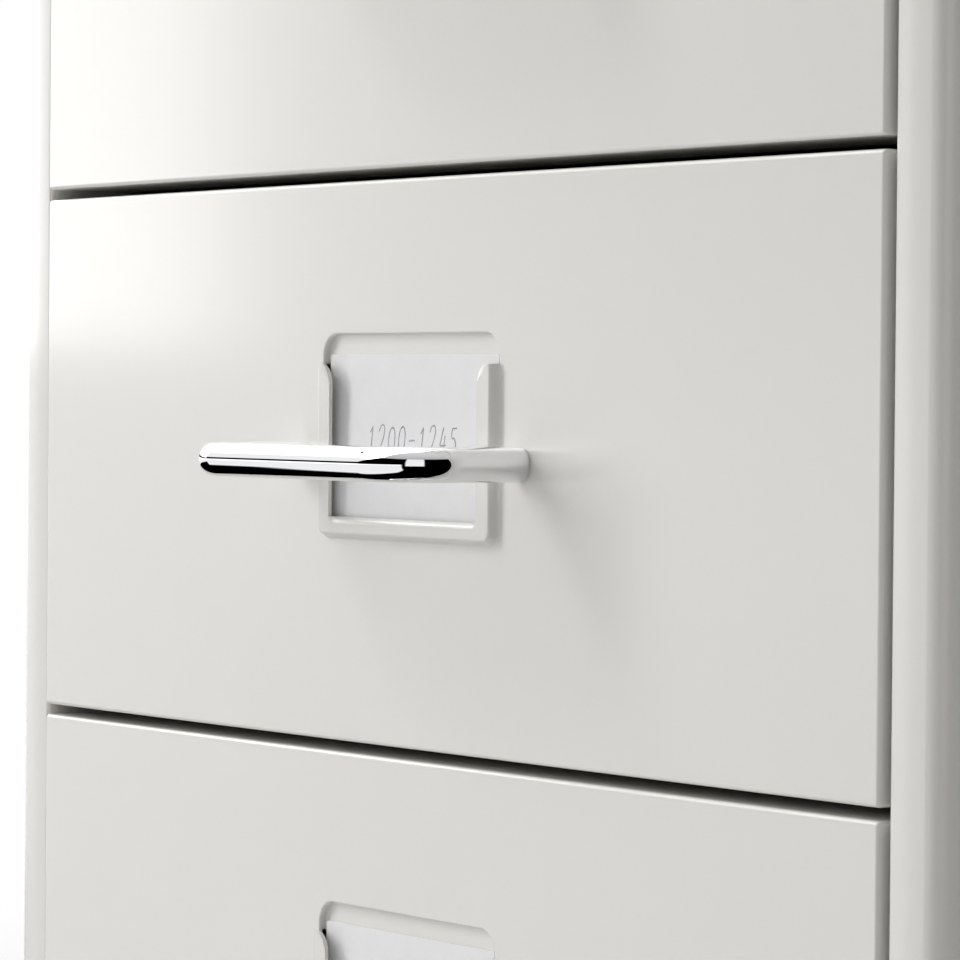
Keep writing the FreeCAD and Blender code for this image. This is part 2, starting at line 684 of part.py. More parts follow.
def castor_fork():
    """Bent plate with two cheeks that carry the axle behind the swivel axis."""
    boss_low = AXLE_Z - AXLE_BOSS_RADIUS
    points = [
        (-FORK_NOSE, FORK_TOP_Z),
        (FORK_NOSE, FORK_TOP_Z),
        (CASTOR_TRAIL + AXLE_BOSS_RADIUS, AXLE_Z + AXLE_BOSS_RADIUS),
        (CASTOR_TRAIL + AXLE_BOSS_RADIUS, boss_low),
        (CASTOR_TRAIL - AXLE_BOSS_RADIUS, boss_low),
        (-FORK_NOSE, FORK_TOP_Z - FORK_CHEEK_DROP),
    ]
    boss_corner = AXLE_BOSS_RADIUS - FIT_GAP
    radii = [0, FORK_TOP_CORNER_RADIUS, 0, boss_corner, boss_corner, FORK_TOP_CORNER_RADIUS]
    fork = prism(points, radii, in_side_view(-FORK_WIDTH / 2), X_AXIS * FORK_WIDTH)
    gap = block(
        -FORK_INNER_WIDTH / 2, FORK_INNER_WIDTH / 2,
        -FORK_NOSE - OVERRUN, CASTOR_TRAIL + AXLE_BOSS_RADIUS + OVERRUN,
        0, FORK_TOP_Z - FORK_SHEET,
    )
    swivel_bore = Part.makeCylinder(STEM_RADIUS + SHAFT_GAP, FORK_TOP_Z + OVERRUN)
    start = vector(-FORK_WIDTH / 2 - OVERRUN, CASTOR_TRAIL, AXLE_Z)
    axle_hole = Part.makeCylinder(
        AXLE_RADIUS + FIT_GAP, FORK_WIDTH + 2 * OVERRUN, start, X_AXIS
    )
    return fork.cut([gap, swivel_bore, axle_hole])


def castor_axle():
    start = vector(-AXLE_LENGTH / 2, CASTOR_TRAIL, AXLE_Z)
    return Part.makeCylinder(AXLE_RADIUS, AXLE_LENGTH, start, X_AXIS)


def castor_wheel():
    half = WHEEL_WIDTH / 2
    bore = AXLE_RADIUS + SHAFT_GAP
    profile = [
        (-half, bore),
        (half, bore),
        (half, WHEEL_RADIUS - WHEEL_CHAMFER),
        (half - WHEEL_CHAMFER, WHEEL_RADIUS),
        (-half + WHEEL_CHAMFER, WHEEL_RADIUS),
        (-half, WHEEL_RADIUS - WHEEL_CHAMFER),
    ]
    points = [vector(x, CASTOR_TRAIL, AXLE_Z + r) for x, r in profile]
    face = Part.Face(Part.makePolygon(points + points[:1]))
    return face.revolve(vector(0, CASTOR_TRAIL, AXLE_Z), X_AXIS, 360)


def moved(shape, x, y, z):
    placed = shape.copy()
    placed.translate(vector(x, y, z))
    return placed


def save(name, pieces):
    """Write one named piece, or a group of like pieces, to its own file."""
    pieces = pieces if isinstance(pieces, list) else [pieces]
    solids = [solid for piece in pieces for solid in piece.Solids]
    shape = solids[0] if len(solids) == 1 else Part.Compound(solids)
    shape.exportStep("parts/" + name + ".step")


def save_carcass():
    right = side_panel()
    save("side_panel_right", right)
    save("side_panel_left", mirrored(right))
    save("top_panel", top_panel())
    save("bottom_panel", bottom_panel())
    save("back_panel", back_panel())
    save("back_screws", back_screws())
    save("runners_left", runners(-1))
    save("runners_right", runners(1))


def save_drawers():
    pieces = {
        "front": [drawer_front()],
        "tray": [tray()],
        "handle": [handle()],
        "label_card": [label_card()],
        "handle_screws": handle_screws(),
    }
    for number in range(1, DRAWER_COUNT + 1):
        z = drawer_middle_z(number)
        for name, shapes in pieces.items():
            placed = [moved(shape, 0, FACE_Y, z) for shape in shapes]
            save("drawer_%d_%s" % (number, name), placed)


def save_castors():
    stem, nut = castor_stem(), castor_nut()
    places = castor_places()
    save("castor_stems", [moved(stem, x, y, 0) for x, y in places.values()])
    save("castor_nuts", [moved(nut, x, y, 0) for x, y in places.values()])
    fork, axle, wheel = castor_fork(), castor_axle(), castor_wheel()
    for name, (x, y) in places.items():
        save("castor_%s_fork" % name, moved(fork, x, y, 0))
        save("castor_%s_axle" % name, moved(axle, x, y, 0))
        save("castor_%s_wheel" % name, moved(wheel, x, y, 0))


os.makedirs("parts", exist_ok=True)
save_carcass()
save_drawers()
save_castors()
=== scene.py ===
"""Looks of a small sheet-steel drawer cabinet: powder coat, chrome bows and paper labels.

Lengths are metres. The drawer fronts face -Y, +X is the right-hand side seen from the front.
"""

import logging
import math
from dataclasses import dataclass, field
from enum import Enum
from typing import Callable, Sequence

import bmesh
import bpy
from mathutils import Matrix, Vector


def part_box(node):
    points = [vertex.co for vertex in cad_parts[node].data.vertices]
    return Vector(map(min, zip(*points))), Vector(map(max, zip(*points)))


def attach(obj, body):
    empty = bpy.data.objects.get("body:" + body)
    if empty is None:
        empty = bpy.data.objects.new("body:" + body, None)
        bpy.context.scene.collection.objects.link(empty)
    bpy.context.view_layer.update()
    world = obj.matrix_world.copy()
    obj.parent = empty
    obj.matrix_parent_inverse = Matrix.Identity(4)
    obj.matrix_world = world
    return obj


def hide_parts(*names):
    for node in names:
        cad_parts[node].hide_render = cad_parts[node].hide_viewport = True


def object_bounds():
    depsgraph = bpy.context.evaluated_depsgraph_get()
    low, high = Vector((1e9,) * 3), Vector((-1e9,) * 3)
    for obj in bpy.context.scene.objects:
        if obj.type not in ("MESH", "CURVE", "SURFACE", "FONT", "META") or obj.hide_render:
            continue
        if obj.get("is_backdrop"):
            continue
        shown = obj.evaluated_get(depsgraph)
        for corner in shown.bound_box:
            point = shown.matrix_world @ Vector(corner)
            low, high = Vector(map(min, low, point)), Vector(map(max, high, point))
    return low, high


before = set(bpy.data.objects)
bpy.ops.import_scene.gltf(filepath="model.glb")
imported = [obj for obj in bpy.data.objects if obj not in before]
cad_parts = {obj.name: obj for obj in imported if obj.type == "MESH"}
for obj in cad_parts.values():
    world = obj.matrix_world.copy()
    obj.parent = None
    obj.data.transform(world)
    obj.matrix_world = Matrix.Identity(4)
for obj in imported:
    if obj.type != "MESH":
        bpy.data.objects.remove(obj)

LOG = logging.getLogger("drawer_cabinet")
MM = 0.001
MERGE_DISTANCE = 1e-6
QUARTER = math.pi / 2
HARD_ANGLE = math.radians(35)
ARC_STEP = math.radians(9)
EDGE_SHAPE = 0.5
FLAT_FACE_WEIGHT = 80
FLOAT = "NodeSocketFloat"
COLOR = "NodeSocketColor"
ORIGIN = Vector((0, 0, 0))
UP = Vector((0, 0, 1))

Point = tuple[float, float]
Pair = tuple[Vector, Vector]
PointPairs = list[tuple[Point, Point]]
Color = tuple[float, float, float]
Place = tuple[float, float, float]
Stops = tuple[Point, ...]
Band = tuple[float, float, float, float]
Node = bpy.types.Node
NodeTree = bpy.types.NodeTree
Socket = bpy.types.NodeSocket
Material = bpy.types.Material
Mesh = bpy.types.Mesh


class Side(Enum):
    """A side of the cabinet, seen from the front, with its sign along X."""

    LEFT = -1
    RIGHT = 1


class Slot(Enum):
    """The material slots of the pieces."""

    CABINET = "cabinet_paint"
    TRAY = "tray_paint"
    HANDLE = "handle_chrome"
    CARD = "card_paper"
    SCREW = "screw_steel"
    RUNNER = "runner_steel"
    CASTOR = "castor_steel"
    WHEEL = "wheel_rubber"


# Shader node graphs


def opaque(color: Color) -> tuple[float, float, float, float]:
    """A colour with full alpha."""
    return (*color, 1.0)


def grey(level: float) -> tuple[float, float, float, float]:
    """An opaque grey."""
    return opaque((level, level, level))


class Graph:
    """Adds nodes to a node tree and links them."""

    def __init__(self, tree: NodeTree) -> None:
        """Keeps the tree that the nodes go into."""
        self.tree = tree

    def feed(self, socket: Socket, value: object) -> None:
        """Links a socket to another one, or sets its value.

        Args:
            socket: The input to fill.
            value: An output socket, or a plain value.
        """
        if isinstance(value, Socket):
            self.tree.links.new(value, socket)
        else:
            socket.default_value = value

    def add(self, kind: str, settings: dict[str, object] | None = None, **inputs: object) -> Node:
        """Adds a node.

        Args:
            kind: Blender's name of the node type.
            settings: Properties of the node itself.
            inputs: Values or sockets, named as the inputs with spaces as underscores.

        Returns:
            The new node.
        """
        node = self.tree.nodes.new(kind)
        for name, value in (settings or {}).items():
            setattr(node, name, value)
        for name, value in inputs.items():
            self.feed(node.inputs[name.replace("_", " ")], value)
        return node

    def fill(self, kind: str, settings: dict[str, object] | None, *values: object) -> Socket:
        """Adds a node whose inputs are given in their order.

        Args:
            kind: Blender's name of the node type.
            settings: Properties of the node itself.
            values: Values or sockets for the first inputs.

        Returns:
            The node's first output.
        """
        node = self.add(kind, settings)
        for socket, value in zip(node.inputs, values):
            self.feed(socket, value)
        return node.outputs[0]

    def group(self, tree: NodeTree, **inputs: object) -> dict[str, Socket]:
        """Adds a node group and gives its outputs."""
        return self.add("ShaderNodeGroup", {"node_tree": tree}, **inputs).outputs

    def math(self, operation: str, *values: object) -> Socket:
        """Adds a Math node for up to three values or sockets."""
        return self.fill("ShaderNodeMath", {"operation": operation}, *values)

    def product(self, first: object, *others: object) -> Socket:
        """Multiplies values or sockets with each other.

        Args:
            first: The first factor.
            others: All other factors.

        Returns:
            The product, or the first factor where it is alone.
        """
        for other in others:
            first = self.math("MULTIPLY", first, other)
        return first

    def blend(self, factor: object, first: object, second: object) -> Socket:
        """Mixes two colours.

        Args:
            factor: Share of the second colour.
            first: A colour or socket.
            second: A colour or socket.

        Returns:
            The mixed colour.
        """
        node = self.add("ShaderNodeMix", {"data_type": "RGBA"})
        colors = [socket for socket in node.inputs if socket.type == "RGBA"]
        for socket, value in zip((node.inputs[0], *colors), (factor, first, second)):
            self.feed(socket, value)
        return next(socket for socket in node.outputs if socket.type == "RGBA")

    def ramp(self, value: object, stops: Stops) -> Socket:
        """Turns a value into a grey through a colour ramp.

        Args:
            value: The value or socket.
            stops: Places with their grey.

        Returns:
            The ramp's colour.
        """
        node = self.add("ShaderNodeValToRGB", Fac=value)
        elements = node.color_ramp.elements
        while len(elements) < len(stops):
            elements.new(1.0)
        for element, (place, level) in zip(elements, stops):
            element.position = place
            element.color = grey(level)
        return node.outputs["Color"]

    def span(
        self, value: object, low: float, high: float, to_low: float = 0.0, to_high: float = 1.0
    ) -> Socket:
        """Maps a range onto another one, held at its ends.

        Args:
            value: The value or socket.
            low: Start of the range.
            high: End of the range.
            to_low: What the start becomes.
            to_high: What the end becomes.

        Returns:
            The mapped value.
        """
        return self.fill("ShaderNodeMapRange", {"clamp": True}, value, low, high, to_low, to_high)

    def band(self, value: object, edges: Band) -> Socket:
        """A mask that rises over the first two edges and falls over the last two."""
        rise, top, fall, end = edges
        return self.product(self.span(value, rise, top), self.span(value, fall, end, 1.0, 0.0))

    def noise(self, place: Socket, scale: object, detail: float) -> Socket:
        """Adds a noise over a place."""
        return self.add("ShaderNodeTexNoise", Vector=place, Scale=scale, Detail=detail).outputs[0]

    def mixed_shader(self, factor: object, first: Node, second: Node) -> Node:
        """Mixes the outputs of two shader nodes and gives the mixing node."""
        values = (factor, first.outputs[0], second.outputs[0])
        return self.fill("ShaderNodeMixShader", None, *values).node


def start_group(
    name: str, inputs: dict[str, object], outputs: dict[str, str]
) -> tuple[Graph, dict[str, Socket], Socket]:
    """Starts a shader node group.

    Args:
        name: The group's name.
        inputs: Default of each input, a number or a colour.
        outputs: Socket type of each output.

    Returns:
        The group's graph, the sockets of its inputs, and the place on the object.
    """
    tree = bpy.data.node_groups.new(name, "ShaderNodeTree")
    for label, default in inputs.items():
        kind = FLOAT if isinstance(default, float) else COLOR
        socket = tree.interface.new_socket(name=label, in_out="INPUT", socket_type=kind)
        socket.default_value = default
    for label, kind in outputs.items():
        tree.interface.new_socket(name=label, in_out="OUTPUT", socket_type=kind)
    graph = Graph(tree)
    given = graph.add("NodeGroupInput").outputs
    return graph, given, graph.add("ShaderNodeTexCoord").outputs["Object"]


def uneven_tone(
    fine_factor: float = 9.0, fine_share: float = 0.35, clean: float = 0.45, full: float = 0.9,
    middle: float = 0.67, broad_detail: float = 3.0, fine_detail: float = 2.0,
) -> NodeTree:
    """Uneven tone: a colour and a roughness that drift over the surface.

    Args:
        fine_factor: Scale of the fine noise, in scales of the broad one.
        fine_share: How much of the fine noise is added.
        clean: Noise up to which the colour stays.
        full: Noise from which the shade is full.
        middle: Noise at which the roughness stays.
        broad_detail: Octaves of the broad noise.
        fine_detail: Octaves of the fine noise.

    Returns:
        The group.
    """
    defaults = {"Color": grey(0.8), "Shade": grey(0.7), "Amount": 0.2, "Scale": 12.0}
    defaults |= {"Roughness": 0.4, "Spread": 0.05}
    graph, given, place = start_group("uneven_tone", defaults, {"Color": COLOR, "Roughness": FLOAT})
    broad = graph.noise(place, given["Scale"], broad_detail)
    fine = graph.noise(place, graph.product(given["Scale"], fine_factor), fine_detail)
    mixed = graph.math("ADD", broad, graph.product(fine, fine_share))
    share = graph.product(graph.span(mixed, clean, full), given["Amount"])
    swing = graph.product(graph.math("SUBTRACT", mixed, middle), given["Spread"])
    graph.add(
        "NodeGroupOutput", Color=graph.blend(share, given["Color"], given["Shade"]),
        Roughness=graph.math("ADD", given["Roughness"], swing),
    )
    return graph.tree


def orange_peel(grain_factor: float = 3.1, detail: float = 1.0, grain_detail: float = 2.0) -> NodeTree:
    """Orange peel of a baked powder coat: a height with round shallow dimples.

    Args:
        grain_factor: Scale of the grain, in scales of the dimples.
        detail: Octaves of the dimples.
        grain_detail: Octaves of the grain.

    Returns:
        The group.
    """
    defaults = {"Scale": 900.0, "Grain": 0.3}
    graph, given, place = start_group("orange_peel", defaults, {"Height": FLOAT})
    peel = graph.noise(place, given["Scale"], detail)
    grain = graph.noise(place, graph.product(given["Scale"], grain_factor), grain_detail)
    graph.add("NodeGroupOutput", Height=graph.math("ADD", peel, graph.product(grain, given["Grain"])))
    return graph.tree


def rolled_streaks(detail: float = 3.0) -> NodeTree:
    """Drawn streaks along Y, as rolled and plated steel has.

    Args:
        detail: Octaves of the noise.

    Returns:
        The group.
    """
    defaults = {"Along": 30.0, "Across": 900.0}
    graph, given, place = start_group("rolled_streaks", defaults, {"Mask": FLOAT})
    across = given["Across"]
    scales = graph.add("ShaderNodeCombineXYZ", X=across, Y=given["Along"], Z=across).outputs[0]
    stretched = graph.fill("ShaderNodeVectorMath", {"operation": "MULTIPLY"}, place, scales)
    graph.add("NodeGroupOutput", Mask=graph.noise(stretched, 1.0, detail))
    return graph.tree


def settled_dust(
    least_slope: float = 0.55, scale: float = 55.0, detail: float = 6.0, thin: float = 0.35,
    thick: float = 0.75, least: float = 0.2,
) -> NodeTree:
    """Dust that settles on faces that look up, patchy at its edges.

    Args:
        least_slope: How far a face looks up where dust starts to lie.
        scale: Scale of the patches.
        detail: Octaves of the patches.
        thin: Noise up to which the dust is thinnest.
        thick: Noise from which it is full.
        least: Its share where it is thinnest.

    Returns:
        The group.
    """
    graph, given, place = start_group("settled_dust", {"Amount": 0.3}, {"Mask": FLOAT})
    normal = graph.add("ShaderNodeNewGeometry").outputs["Normal"]
    upward = graph.add("ShaderNodeSeparateXYZ", Vector=normal).outputs["Z"]
    patch = graph.span(graph.noise(place, scale, detail), thin, thick, least, 1.0)
    mask = graph.product(graph.span(upward, least_slope, 1.0), patch, given["Amount"])
    graph.add("NodeGroupOutput", Mask=mask)
    return graph.tree


@dataclass
class SurfaceGroups:
    """The node groups that several finishes share, each built once."""

    tone: NodeTree = field(default_factory=uneven_tone)
    dimple: NodeTree = field(default_factory=orange_peel)
    streak: NodeTree = field(default_factory=rolled_streaks)
    dust: NodeTree = field(default_factory=settled_dust)


# Finishes


@dataclass(frozen=True)
class Relief:
    """A fine relief: scale, share of its grain, real depth, and the share that shows."""

    scale: float
    grain: float
    depth: float
    strength: float


@dataclass(frozen=True)
class Finish:
    """What every finish has: a colour and a roughness that drift over the surface."""

    name: str
    color: Color
    shade: Color
    shade_amount: float
    shade_scale: float
    roughness: float
    roughness_spread: float
    metallic: float = 0.0
    specular: float = 0.5
    relief: Relief | None = None

    def build(self, groups: SurfaceGroups) -> Material:
        """Builds the material.

        Args:
            groups: The shared node groups.

        Returns:
            The material.
        """
        material = bpy.data.materials.new(self.name)
        material.use_nodes = True
        material.diffuse_color = opaque(self.color)
        graph = Graph(material.node_tree)
        shader = material.node_tree.nodes["Principled BSDF"]
        shader.inputs["Metallic"].default_value = self.metallic
        shader.inputs["Specular IOR Level"].default_value = self.specular
        tone = graph.group(
            groups.tone, Color=opaque(self.color), Shade=opaque(self.shade), Amount=self.shade_amount,
            Scale=self.shade_scale, Roughness=self.roughness, Spread=self.roughness_spread,
        )
        graph.feed(shader.inputs["Base Color"], tone["Color"])
        graph.feed(shader.inputs["Roughness"], tone["Roughness"])
        if self.relief:
            peel = graph.group(groups.dimple, Scale=self.relief.scale, Grain=self.relief.grain)
            self.bump(graph, shader, peel["Height"], self.relief.depth, self.relief.strength)
        self.extras(graph, shader, groups, tone)
        return material

    def extras(
        self, graph: Graph, shader: Node, groups: SurfaceGroups, tone: dict[str, Socket]
    ) -> None:
        """Adds what only one kind of finish has; here nothing.

        Args:
            graph: The material's graph.
            shader: Its Principled shader.
            groups: The shared node groups.
            tone: The drifting colour and roughness.
        """

    def bump(self, graph: Graph, shader: Node, height: Socket, depth: float, strength: float) -> None:
        """Feeds a height to the shader's normal.

        Args:
            graph: The material's graph.
            shader: The shader that gets the normal.
            height: The height.
            depth: Real depth of the relief.
            strength: Share of the relief that shows.
        """
        node = graph.add("ShaderNodeBump", Height=height, Distance=depth, Strength=strength)
        graph.feed(shader.inputs["Normal"], node.outputs["Normal"])


@dataclass(frozen=True)
class PowderCoat(Finish):
    """Baked powder coat on sheet steel, with a little dust."""

    name: str = "powder_coat"
    color: Color = (0.80, 0.79, 0.76)
    shade: Color = (0.70, 0.70, 0.67)
    shade_amount: float = 0.10
    shade_scale: float = 9.0
    roughness: float = 0.22
    roughness_spread: float = 0.06
    relief: Relief = Relief(1100.0, 0.25, 0.02 * MM, 0.10)
    dust_amount: float = 0.06
    dust_color: Color = (0.55, 0.54, 0.50)
    coat: float = 0.0
    coat_roughness: float = 0.2

    def extras(
        self, graph: Graph, shader: Node, groups: SurfaceGroups, tone: dict[str, Socket]
    ) -> None:
        """Adds the dust and the clear coat.

        Args:
            graph: The material's graph.
            shader: Its Principled shader.
            groups: The shared node groups.
            tone: The drifting colour and roughness.
        """
        dust = graph.group(groups.dust, Amount=self.dust_amount)["Mask"]
        dusty = graph.blend(dust, tone["Color"], opaque(self.dust_color))
        graph.feed(shader.inputs["Base Color"], dusty)
        shader.inputs["Coat Weight"].default_value = self.coat
        shader.inputs["Coat Roughness"].default_value = self.coat_roughness


@dataclass(frozen=True)
class ChromePlate(Finish):
    """Bright chrome plate with faint polishing clouds."""

    name: str = "chrome_plate"
    color: Color = (0.86, 0.865, 0.875)
    shade: Color = (0.62, 0.63, 0.65)
    shade_amount: float = 0.08
    shade_scale: float = 60.0
    roughness: float = 0.035
    roughness_spread: float = 0.03
    metallic: float = 1.0


@dataclass(frozen=True)
class ZincPlate(Finish):
    """Zinc-plated steel with rolled streaks and a dull film."""

    name: str = "zinc_plate"
    color: Color = (0.66, 0.66, 0.64)
    shade: Color = (0.42, 0.42, 0.40)
    shade_amount: float = 0.45
    shade_scale: float = 40.0
    roughness: float = 0.34
    roughness_spread: float = 0.25
    metallic: float = 0.9
    streak_along: float = 25.0
    streak_across: float = 700.0
    streak_middle: float = 0.5
    streak_spread: float = 0.25
    streak_depth: float = 0.01 * MM
    streak_strength: float = 0.25

    def extras(
        self, graph: Graph, shader: Node, groups: SurfaceGroups, tone: dict[str, Socket]
    ) -> None:
        """Adds the streaks.

        Args:
            graph: The material's graph.
            shader: Its Principled shader.
            groups: The shared node groups.
            tone: The drifting colour and roughness.
        """
        given = {"Along": self.streak_along, "Across": self.streak_across}
        streak = graph.group(groups.streak, **given)["Mask"]
        swing = graph.product(graph.math("SUBTRACT", streak, self.streak_middle), self.streak_spread)
        graph.feed(shader.inputs["Roughness"], graph.math("ADD", tone["Roughness"], swing))
        self.bump(graph, shader, streak, self.streak_depth, self.streak_strength)


@dataclass(frozen=True)
class CardPaper(Finish):
    """Uncoated card with fibres in its surface."""

    name: str = "card_paper"
    color: Color = (0.87, 0.865, 0.88)
    shade: Color = (0.74, 0.74, 0.75)
    shade_amount: float = 0.25
    shade_scale: float = 220.0
    roughness: float = 0.75
    roughness_spread: float = 0.04
    specular: float = 0.25
    relief: Relief = Relief(3200.0, 0.8, 0.02 * MM, 0.25)


@dataclass(frozen=True)
class PencilLead(Finish):
    """Pencil on card, with a broken grain."""

    name: str = "pencil_lead"
    color: Color = (0.20, 0.20, 0.22)
    shade: Color = (0.52, 0.52, 0.54)
    shade_amount: float = 0.9
    shade_scale: float = 900.0
    roughness: float = 0.5
    roughness_spread: float = 0.05


@dataclass(frozen=True)
class TreadRubber(Finish):
    """Dark moulded rubber that has picked up floor dust."""

    name: str = "tread_rubber"
    color: Color = (0.045, 0.045, 0.05)
    shade: Color = (0.16, 0.155, 0.145)
    shade_amount: float = 0.7
    shade_scale: float = 70.0
    roughness: float = 0.62
    roughness_spread: float = 0.15
    relief: Relief = Relief(1500.0, 0.6, 0.05 * MM, 0.35)


TRAY_PAINT = PowderCoat(
    "tray_paint", (0.74, 0.74, 0.715), shade_amount=0.3, roughness=0.5, dust_amount=0.2, coat=0.1
)


@dataclass
class Finishes:
    """All finishes of the cabinet, one material each."""

    groups: SurfaceGroups
    materials: dict[str, Material] = field(default_factory=dict)

    def __post_init__(self) -> None:
        """Builds the materials."""
        plain = (PowderCoat(), TRAY_PAINT, ChromePlate(), ZincPlate(), CardPaper(), PencilLead())
        for finish in (*plain, TreadRubber()):
            self.materials[finish.name] = finish.build(self.groups)

    def dress(self, piece: bpy.types.Object, name: str, slot: Slot) -> None:
        """Gives a piece its finish.

        Args:
            piece: The object.
            name: The finish.
            slot: Not used.
        """
        if piece.data.materials:
            for place in piece.material_slots:
                place.material = self.materials[name]
        else:
            piece.data.materials.append(self.materials[name])


# Outlines


def heading(turn: float) -> Point:
    """The direction of an angle, one long."""
    return math.cos(turn), math.sin(turn)


def unit(start: Point, end: Point) -> Point:
    """The direction from one point to another, one long."""
    length = math.hypot(end[0] - start[0], end[1] - start[1])
    return (end[0] - start[0]) / length, (end[1] - start[1]) / length


def along(start: Point, direction: Point, distance: float) -> Point:
    """The point at a distance from start in a direction."""
    return start[0] + direction[0] * distance, start[1] + direction[1] * distance


def turns(start: float, end: float, steps: int) -> list[float]:
    """Evenly spaced angles, both ends included."""
    return [start + (end - start) * i / steps for i in range(steps + 1)]


def arc(centre: Point, radius: float, start: float, end: float, steps: int) -> list[Point]:
    """Points on an arc.

    Args:
        centre: Middle of the arc.
        radius: Its radius.
        start: Angle of its first point.
        end: Angle of its last point.
        steps: Number of chords.

    Returns:
        The points, both ends included.
    """
    return [along(centre, heading(turn), radius) for turn in turns(start, end, steps)]


def arc_ways(centre: Point, radius: float, first: int, steps: int) -> PointPairs:
    """Points on a quarter circle with the ways out, from the given quarter's start."""
    angles = turns(first * QUARTER, (first + 1) * QUARTER, steps)
    return [(along(centre, heading(turn), radius), heading(turn)) for turn in angles]


def skins(centre: Point, radii: Point, start: float, end: float, steps: int) -> PointPairs:
    """Points on both skins of a sheet that bends round a centre.

    Args:
        centre: Middle of the bend.
        radii: Radius of the front skin and of the back skin.
        start: Angle of the first points.
        end: Angle of the last points.
        steps: Number of chords.

    Returns:
        Pairs of points, on the front skin and on the back skin.
    """
    front, back = (arc(centre, radius, start, end, steps) for radius in radii)
    return list(zip(front, back))


def rounded(points: Sequence[Point], radii: Sequence[float]) -> list[Point]:
    """A closed outline whose corners are rounded.

    Args:
        points: The corners.
        radii: Radius at each corner.

    Returns:
        The points of the rounded outline.
    """
    result: list[Point] = []
    for i, here in enumerate(points):
        before, after = points[i - 1], points[(i + 1) % len(points)]
        if radii[i] <= 0:
            result.append(here)
            continue
        back, ahead = unit(here, before), unit(here, after)
        half = math.acos(max(-1.0, min(1.0, back[0] * ahead[0] + back[1] * ahead[1]))) / 2
        first = along(here, back, radii[i] / math.tan(half))
        inward = unit((0, 0), (back[0] + ahead[0], back[1] + ahead[1]))
        centre = along(here, inward, radii[i] / math.sin(half))
        start = math.atan2(first[1] - centre[1], first[0] - centre[0])
        turn = math.copysign(math.pi - 2 * half, back[1] * ahead[0] - back[0] * ahead[1])
        steps = max(2, math.ceil(abs(turn) / ARC_STEP))
        result += arc(centre, radii[i], start, start + turn, steps)
    return result


def bent_sheet(path: Sequence[Point], thickness: float, radii: Sequence[float]) -> list[Point]:
    """Outline of a sheet bent along a path, with its thickness to the left of the path.

    Args:
        path: Points of one face of the sheet.
        thickness: The sheet's thickness.
        radii: Inside radius at each inner point of the path.

    Returns:
        The rounded outline.
    """
    count = len(path)
    ways = [unit(path[i], path[i + 1]) for i in range(count - 1)]
    other: list[Point] = []
    near, far = [0.0], [0.0]
    for i in range(count):
        before, after = ways[max(i - 1, 0)], ways[min(i, count - 2)]
        normal = unit((0, 0), (-before[1] - after[1], before[0] + after[0]))
        lean = normal[0] * -after[1] + normal[1] * after[0]
        other.append(along(path[i], normal, thickness / lean))
        if 0 < i < count - 1:
            left_turn = before[0] * after[1] - before[1] * after[0] > 0
            pair = (radii[i - 1], radii[i - 1] + thickness)
            near.append(pair[left_turn])
            far.append(pair[not left_turn])
    return rounded(list(path) + other[::-1], near + [0.0] + (far + [0.0])[::-1])


# Meshes


def evaluated(data: bpy.types.ID, weighted: bool = False) -> Mesh:
    """The mesh that a curve or a mesh comes to in the scene.

    Args:
        data: The curve or mesh.
        weighted: Whether its normals are weighted by the size of the faces.

    Returns:
        A new mesh.
    """
    holder = bpy.data.objects.new(data.name + "_holder", data)
    bpy.context.scene.collection.objects.link(holder)
    if weighted:
        weighting = holder.modifiers.new("flat_faces_lead", "WEIGHTED_NORMAL")
        weighting.keep_sharp = True
        weighting.weight = FLAT_FACE_WEIGHT
    graph = bpy.context.evaluated_depsgraph_get()
    mesh = bpy.data.meshes.new_from_object(holder.evaluated_get(graph), depsgraph=graph)
    bpy.data.objects.remove(holder)
    return mesh


def finished_mesh(
    source: bmesh.types.BMesh, name: str, edges: list[bmesh.types.BMEdge], edge_round: float,
    sharp: float = HARD_ANGLE, segments: int = 2,
) -> Mesh:
    """Turns a working mesh into a smooth-shaded one with softened edges and flat flats.

    Args:
        source: The working mesh, which is freed.
        name: The new mesh's name.
        edges: The edges that are softened.
        edge_round: How far they are rounded.
        sharp: Edges above this angle stay sharp.
        segments: Steps in each softened edge.

    Returns:
        The mesh.
    """
    bmesh.ops.bevel(
        source, geom=edges, offset=edge_round, segments=segments, profile=EDGE_SHAPE, affect="EDGES",
        clamp_overlap=True,
    )
    rough = bpy.data.meshes.new(name + "_rough")
    source.to_mesh(rough)
    source.free()
    rough.shade_smooth()
    rough.set_sharp_from_angle(angle=sharp)
    mesh = evaluated(rough, weighted=True)
    mesh.name = name
    bpy.data.meshes.remove(rough)
    return mesh


def grid(
    mesh: bmesh.types.BMesh, rows: Sequence[Sequence[bmesh.types.BMVert]], closed: bool
) -> None:
    """Adds the faces between rows of vertices.

    Args:
        mesh: The working mesh.
        rows: The rows, each as long.
        closed: Whether each row runs round.
    """
    count = len(rows[0])
    for near, far in zip(rows, rows[1:]):
        for i in range(count if closed else count - 1):
            j = (i + 1) % count
            mesh.faces.new((near[i], near[j], far[j], far[i]))


def join_and_orient(mesh: bmesh.types.BMesh) -> None:
    """Joins the points that meet and turns all faces outwards."""
    bmesh.ops.remove_doubles(mesh, verts=mesh.verts, dist=MERGE_DISTANCE)
    bmesh.ops.recalc_face_normals(mesh, faces=mesh.faces)


